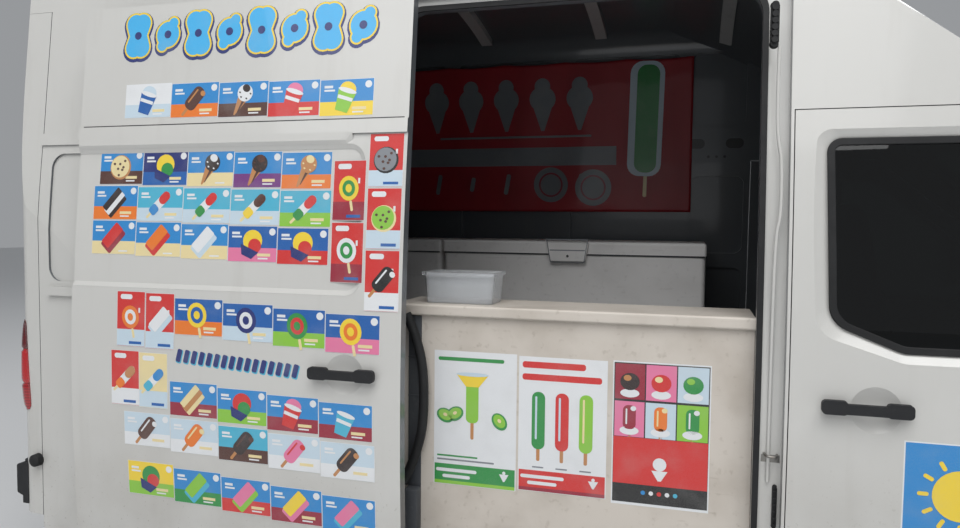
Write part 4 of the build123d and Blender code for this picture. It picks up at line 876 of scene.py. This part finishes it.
def round_tyre():
    """One tyre about the origin, its axle along Y. The outer rows' blocks fall off at the shoulders."""
    form = bmesh.new()
    ring = [form.verts.new((0, y * mm, -r * mm)) for r, y in section]
    edges = [form.edges.new(pair) for pair in zip(ring, ring[1:] + ring[:1])]
    bmesh.ops.spin(form, geom=ring + edges, axis=(0, 1, 0), steps=96, angle=2 * math.pi, use_merge=True)
    bmesh.ops.remove_doubles(form, verts=form.verts[:], dist=0.01 * mm)
    bmesh.ops.recalc_face_normals(form, faces=form.faces[:])
    blocks, shoulder, block_middle, block_height = 60, 90 * mm, 382.1 * mm, 9.5 * mm
    pitch = 2 * math.pi / blocks
    for row, (middle, width, lean) in enumerate(tread):
        size = Matrix.Diagonal((pitch * tyre_radius * 0.86, width * mm, block_height, 1))
        foot = Matrix.Translation((0, middle * mm, -block_middle)) @ Matrix.Rotation(lean, 4, "Z") @ size
        for place in range(blocks):
            turn = Matrix.Rotation((place + row * 0.37) * pitch, 4, "Y")
            for vert in bmesh.ops.create_cube(form, size=1, matrix=turn @ foot)["verts"]:
                if abs(vert.co.y) > shoulder:
                    reach = math.hypot(vert.co.x, vert.co.z)
                    drop = (reach - 6 * mm) / reach
                    vert.co.x *= drop
                    vert.co.z *= drop
    return form


for name, centre in wheel_places.items():
    form = round_tyre()
    bmesh.ops.translate(form, verts=form.verts[:], vec=centre)
    tyre = add_piece("dressed_tyre_" + name, form, "wheel_" + name, "tyre_rubber", tyre_rubber)
    smooth(tyre, 0.6)
    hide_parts("tyre_" + name)
    dress(wheel_silver, "rim_" + name)


# Small fittings are joined into one mesh each: nuts and a cap on every wheel, then the buffers, seal
# tube, flange and striker round the side doorway, the counter's end panel and the freezers' gaskets.
def edges_of(verts):
    return list({edge for vert in verts for edge in vert.link_edges})


class Fitting:
    """Small parts of one material that belong together."""

    def __init__(self):
        self.form = bmesh.new()

    def box(self, low, high, soft=1.5):
        """Block between two corners in millimetres, its edges eased."""
        low, high = Vector(low) * mm, Vector(high) * mm
        place = Matrix.Translation((low + high) / 2) @ Matrix.Diagonal((*(high - low), 1))
        made = bmesh.ops.create_cube(self.form, size=1, matrix=place)["verts"]
        ease(self.form, edges_of(made), soft * mm, 2, "EDGES")

    def rod(self, start, end, foot, tip=None, sides=20):
        """Round bar between two points in millimetres, from the radius of its foot to that of its tip."""
        start, end = Vector(start) * mm, Vector(end) * mm
        turn = (end - start).to_track_quat("Z", "Y").to_matrix().to_4x4()
        place = Matrix.Translation((start + end) / 2) @ turn
        size = {"radius1": foot * mm, "radius2": (tip or foot) * mm, "depth": (end - start).length}
        bmesh.ops.create_cone(self.form, cap_ends=True, segments=sides, matrix=place, **size)

    def tube(self, path, radius):
        """Round tube along a smooth curve that the points in millimetres steer."""
        curve = bpy.data.curves.new("path", "CURVE")
        curve.dimensions = "3D"
        curve.bevel_depth = radius * mm
        curve.bevel_resolution = 3
        curve.use_fill_caps = True
        line = curve.splines.new("NURBS")
        line.points.add(len(path) - 1)
        for point, place in zip(line.points, path):
            point.co = (*(Vector(place) * mm), 1)
        line.order_u = 3
        line.use_endpoint_u = True
        holder = bpy.data.objects.new("path", curve)
        mesh = bpy.data.meshes.new_from_object(holder)
        self.form.from_mesh(mesh)
        bpy.data.objects.remove(holder)
        bpy.data.meshes.remove(mesh)

    def fix_to(self, name, finish, slot=None, body="body"):
        """Makes one piece of the parts. Its slot argument is not used."""
        bmesh.ops.recalc_face_normals(self.form, faces=self.form.faces[:])
        smooth(add_piece(name, self.form, body, slot or finish.name, finish), 0.7)


def behind_seam(*places):
    """Points given by their distance behind the seam, y and z."""
    return [(seam - behind, y, z) for behind, y, z in places]


for name, centre in wheel_places.items():
    hub = centre / mm
    outwards = Vector((0, math.copysign(1, centre.y), 0))
    nuts = Fitting()
    for nut in range(6):
        angle = nut * math.pi / 3 + 0.2
        foot = hub + outwards * 33 + Vector((66 * math.cos(angle), 0, 66 * math.sin(angle)))
        for reach, thick, tip, edges in ((5, 17, 15, 20), (19, 12.5, 11.5, 6), (26, 6, 5, 12)):
            nuts.rod(foot, foot + outwards * reach, thick, tip, edges)
    nuts.fix_to("wheel_nuts_" + name, bare_steel, body="wheel_" + name)
    cap = Fitting()
    cap.rod(hub + outwards * 44, hub + outwards * 53, 41, 36, 40)
    cap.rod(hub + outwards * 53, hub + outwards * 55, 27, 24, 40)
    cap.fix_to("hub_cap_" + name, black_plastic, body="wheel_" + name)

shut = Fitting()
for behind, low, high, half in ((66, 2175, 2290, 13), (26, 690, 815, 7)):
    x = seam - behind
    for z in (low, high):
        shut.rod((x, -944, z), (x, -964, z), half + 1, half - 2)
    shut.box((x - half, -962, low), (x + half, -944, high), 3)
    for rib in range(6):
        z = low + (high - low) * (rib + 0.5) / 6
        shut.rod((x, -950, z), (x, -972, z), half - 1, half - 4)
seal_path = ((1262, -930, 1300), (1205, -934, 1190), (1188, -936, 1000), (1206, -934, 820), (1270, -930, 690))
shut.tube(behind_seam(*seal_path), 17)
foot, neck, tip = behind_seam((2877, -950, 628), (2877, -996, 628), (2877, -1004, 628))
shut.rod(foot, neck, 27, 25, 28)
shut.rod(neck, tip, 25, 15, 28)
shut.fix_to("door_shut_rubbers", seal_rubber)
flange = Fitting()
flange.tube(behind_seam(
    (50, -951, 2168), (52, -952, 1990), (46, -953, 1880), (34, -954, 1830),
    (32, -955, 1650), (46, -956, 1600), (48, -957, 1200), (48, -956, 830)
), 5.5)
flange.fix_to("pillar_flange", white_paint)
striker = Fitting()
hoop = ((22, -946, 915), (24, -978, 915), (40, -984, 916), (58, -978, 918), (60, -946, 918))
striker.tube(behind_seam(*hoop), 4.5)
striker.box(*behind_seam((70, -952, 890), (12, -945, 944)), 2)
striker.fix_to("door_striker", bare_steel)
end_grey = moulded("end_grey", (62, 65, 70), (92, 94, 96), 0.55, 300)
end_panel = Fitting()
for low, high, soft in (
    ((1262, -906, 500), (1214, -899, 1292), 1), ((1262, -952, 498), (1212, -902, 672), 5),
    ((1262, -909, 1000), (1214, -900, 1006), 1), ((1262, -909, 1140), (1214, -900, 1146), 1),
):
    end_panel.box(*behind_seam(low, high), soft)
end_panel.fix_to("counter_end_panel", end_grey, "dark_trim")
gasket = Fitting()
for rear, front in ((1504, 232), (2056, 1530)):
    gasket.box(*behind_seam((rear, 198, 1478), (front, 204, 1484.5)), 1)
gasket.fix_to("freezer_gaskets", end_grey, "dark_trim")


# Rear corners: the bumper's black ends wrap round onto the sides, slanted towards the wheel.
caps = Fitting()
for side in (1, -1):
    made = bmesh.ops.create_cube(caps.form, size=1)["verts"]
    for vert in made:
        front, outer, upper = (vert.co.x > 0, vert.co.y > 0, vert.co.z > 0)
        x = (-2674, -2630 if upper else -2588)[front]
        z = 590 if upper else (466, 432)[front]
        vert.co = Vector((x, side * (862, 954)[outer], z)) * mm
    bmesh.ops.recalc_face_normals(caps.form, faces=caps.form.faces[:])
    ease(caps.form, edges_of(made), 9 * mm, 4, "EDGES")
caps.fix_to("bumper_end_caps", black_plastic)


# Mirror glasses, and a handle and a blank plate on the rear doors.
mirror_glass = Finish("mirror_glass", {"Metallic": 1.0})
haze = mirror_glass.noise(20, 4).rise(0.5, 0.8, 0.08) + 0.02
mirror_glass.cover(mirror_glass.noise(6, 3), (196, 204, 208), (170, 178, 184), haze)
for name, side in sides.items():
    pane = Fitting()
    for low, high in ((1352, 1530), (1546, 1680)):
        pane.box((1351, side * 1115 - 78, low), (1354.8, side * 1115 + 78, high), 1.2)
    pane.fix_to("mirror_glass_" + name, mirror_glass, "glass", body="front_door_" + name)
handle = Fitting()
handle.box((-2650, -200, 1072), (-2628, -60, 1100), 6)
handle.box((-2640, -214, 1050), (-2626, -46, 1122), 4)
handle.fix_to("rear_handle", black_plastic, body="rear_door_right")
blank = Fitting()
blank.box((-2614, 125, 1024), (-2610, 645, 1136), 1)
white_ink = ink_finishes[ink_order.index("white")]
blank.fix_to("blank_plate", white_ink, "body_white", body="rear_door_left")


# Lamps: clear covers over bright plated bowls, and red tail lamps in three lights, ribbed behind their
# smooth faces.
lamp_clear = Finish("lamp_clear", {"Transmission Weight": 1.0, "IOR": 1.12})
lamp_clear.give({"Base Color": (236, 240, 242)})
lamp_clear.give({"Roughness": lamp_clear.noise(30, 4).rise(0.5, 0.9, 0.12) + 0.02})
lamp_clear.bump(lamp_clear.noise(120, 2), 0.0002, 0.2)
reflector = Finish("reflector", {"Metallic": 0.9})
haze = reflector.noise(25, 3) * 0.18 + 0.12
reflector.cover(reflector.noise(40, 3), (206, 209, 213), (150, 153, 158), haze)
lamp_red = Finish("lamp_red", {"Coat Weight": 0.8, "Coat Roughness": 0.05})
height = lamp_red.along("Z")
wave = {"Vector": lamp_red.place, "Scale": 26.0}
ribs = lamp_red.node("ShaderNodeTexWave", {"bands_direction": "Z"}, wave, "Fac")
lower = lamp_red.mix(ribs, (128, 16, 24), (170, 30, 36))
upper = lamp_red.mix(height.rise(1.083, 1.087), (176, 24, 28), (92, 12, 18))
haze = lamp_red.noise(25, 4).rise(0.4, 0.8, 0.2) + 0.12
lamp_red.cover(height.rise(0.941, 0.945), lower, upper, haze)
lamp_red.bump(ribs, 0.0006, 0.4)
dress(lamp_clear, "headlamps")
dress(reflector, "headlamp_bowls")
dress(lamp_red, "tail_lamps")
lamp_low, lamp_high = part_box("tail_lamps")
lamp_skin = skin_of(solids["tail_lamps"])
for name, side in sides.items():
    lens = bmesh.new()
    bmesh.ops.create_grid(lens, x_segments=14, y_segments=34, size=0.5)
    for vert in lens.verts:
        turn, rise = vert.co.x + 0.5, vert.co.y + 0.5
        z = lamp_low.z + (0.01 + 0.98 * rise) * (lamp_high.z - lamp_low.z)
        inmost = Vector((lamp_high.x - (6 + 24 * rise) * mm, side * 0.866, z))
        outwards = Vector((-math.sin(turn * math.pi / 2), side * math.cos(turn * math.pi / 2), 0))
        hit = lamp_skin.ray_cast(inmost + outwards, -outwards)[0] or inmost + outwards * 0.1
        swell = (math.sin(turn * math.pi) * math.sin(rise * math.pi)) ** 0.45
        vert.co = hit + outwards * (19 * mm * swell)
    face_towards(lens, Vector((0, side, 0)))
    add_piece("tail_lamp_lens_" + name, lens, "body", "lamp_red", lamp_red).data.shade_smooth()


# Belt rail on the far wall: long slots and small holes between the stamped fields, printed black as
# painted shade for the cavity behind them. The freezer's latch has a joint across its flap and a keyhole,
# and a grey outline printed as painted shade along the edges of its recess.
slot_shade = Print(solids["left_side_panel"])
for place in range(12):
    x = seam - 83 - place * 200
    slot_shade.lozenge(x, 2074, 92, 52, "black", 1, 0, 0.5, 6)
    for hole in (50, 92, 134):
        slot_shade.disc(x - hole, 2004, 15, 15, "black", 1, sides=12)
slot_shade.stick_to("wall_slot_shade", "body_white")
latch = Print(solids["freezer_lid"])
latch.disc(seam - 868, 1474, 13, 13, "black", 1, sides=14)
# Grey lines round the latch are painted shade along the edges of its recess; the line across at 1502 mm is
# the flap's joint.
for z, wide, thick in ((1502, 172, 5), (1554, 198, 5), (1444, 160, 4)):
    latch.lozenge(seam - 870, z, wide, thick, "grey", 1, 0, 0.4, 2)
for behind, turn in ((961, -0.18), (780, 0.15)):
    latch.lozenge(seam - behind, 1499, 4, 112, "grey", 1.5, turn, 0.4, 2)
latch.stick_to("latch_joint_and_shade", "freezer_white", "freezer_lid")


# Seats: foam under woven cloth. Each pad is swelled by a cloth simulation from a slightly smaller
# block, then its sewn channels are pressed in.
seat_cloth = Finish("seat_cloth", {"Sheen Weight": 0.25})
weave = seat_cloth.noise(620, 2, (1, 1, 3)) + seat_cloth.noise(620, 2, (3, 3, 1))
rub = seat_cloth.noise(7, 4).rise(0.4, 0.8, 0.5)
seat_cloth.cover(rub + weave * 0.2, (38, 40, 45), (78, 78, 82), weave * 0.2 + 0.7)
seat_cloth.bump(weave, 0.0008, 0.7)


def result_of(pad):
    """Mesh that an object's modifiers make of it."""
    return bpy.data.meshes.new_from_object(pad.evaluated_get(bpy.context.evaluated_depsgraph_get()))


def stuffed(outline, low_y, high_y, corner, voxel, cap):
    """Mesh of a pad: a prism across the van, remeshed and blown up like foam in a cover."""
    form = bmesh.new()
    ends = [[form.verts.new((x * mm, y * mm, z * mm)) for x, z in outline] for y in (low_y, high_y)]
    for end in ends:
        form.faces.new(end)
    for place in range(len(outline)):
        following = (place + 1) % len(outline)
        form.faces.new((ends[0][place], ends[0][following], ends[1][following], ends[1][place]))
    bmesh.ops.recalc_face_normals(form, faces=form.faces[:])
    ease(form, form.edges[:], corner * mm, 4, "EDGES")
    pad = formed("pad", form)
    even = pad.modifiers.new("even", "REMESH")
    even.mode = "VOXEL"
    even.voxel_size = voxel * mm
    pad.data = result_of(pad)
    pad.modifiers.clear()
    cover = pad.modifiers.new("cover", "CLOTH")
    cover.settings.use_pressure = True
    cover.settings.uniform_pressure_force = 4
    cover.settings.effector_weights.gravity = 0
    for step in range(1, 21):
        bpy.context.scene.frame_set(step)
    swelled = result_of(pad)
    for vert, moved in zip(pad.data.vertices, swelled.vertices):
        shift = moved.co - vert.co
        vert.co += shift * min(1.0, cap * mm / max(shift.length, 1e-6))
    pad.modifiers.clear()
    bpy.context.scene.frame_set(1)
    mesh = pad.data
    bpy.data.objects.remove(pad)
    return mesh


def channelled(mesh, channels, depth):
    """Presses sewn channels into a pad. Each is an axis, a place and the least and most of another axis."""
    for vert in mesh.vertices:
        for axis, place, across, low, high in channels:
            if low * mm < vert.co[across] < high * mm:
                near = (vert.co[axis] - place * mm) / (7 * mm)
                vert.co -= vert.normal * depth * mm * math.exp(-near * near)


cushion_outline = ((584, 1012), (1074, 1012), (1082, 1118), (1040, 1122), (592, 1108))
back_outline = ((620, 1128), (724, 1128), (588, 1712), (506, 1712))
head_outline = ((500, 1784), (582, 1784), (566, 1952), (500, 1952))
cushion = stuffed(cushion_outline, 240, 720, 34, 9, 12)
seams = ((1, 340, 2, 1060, 1200), (1, 620, 2, 1060, 1200), (0, 760, 1, 340, 620), (0, 920, 1, 340, 620))
channelled(cushion, seams, 9)
back = stuffed(back_outline, 250, 710, 30, 9, 12)
seams = ((1, 345, 2, 1160, 1700), (1, 615, 2, 1160, 1700), (2, 1300, 1, 345, 615), (2, 1480, 1, 345, 615))
channelled(back, seams, 8)
head = stuffed(head_outline, 352, 608, 26, 7, 7)
for node, shift in (("driver_seat", 0.0), ("passenger_seat", -0.96)):
    for part, source in (("cushion", cushion), ("back", back), ("head", head)):
        mesh = source.copy()
        mesh.transform(Matrix.Translation((0, shift, 0)))
        mesh.materials.clear()
        mesh.materials.append(seat_cloth.material)
        mesh.shade_smooth()
        piece = new_object(f"{node}_{part}", mesh)
        finer = piece.modifiers.new("finer", "SUBSURF")
        finer.levels = 1
        finer.render_levels = 1
        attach(piece, "body")
        if part == "cushion":
            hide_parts(node)
    posts = Fitting()
    for y in (420, 540):
        posts.rod((545, y + shift / mm, 1700), (545, y + shift / mm, 1800), 7)
    posts.box((600, 262 + shift / mm, 1000), (1060, 698 + shift / mm, 1016), 3)
    posts.fix_to(node + "_frame", dark_trim)
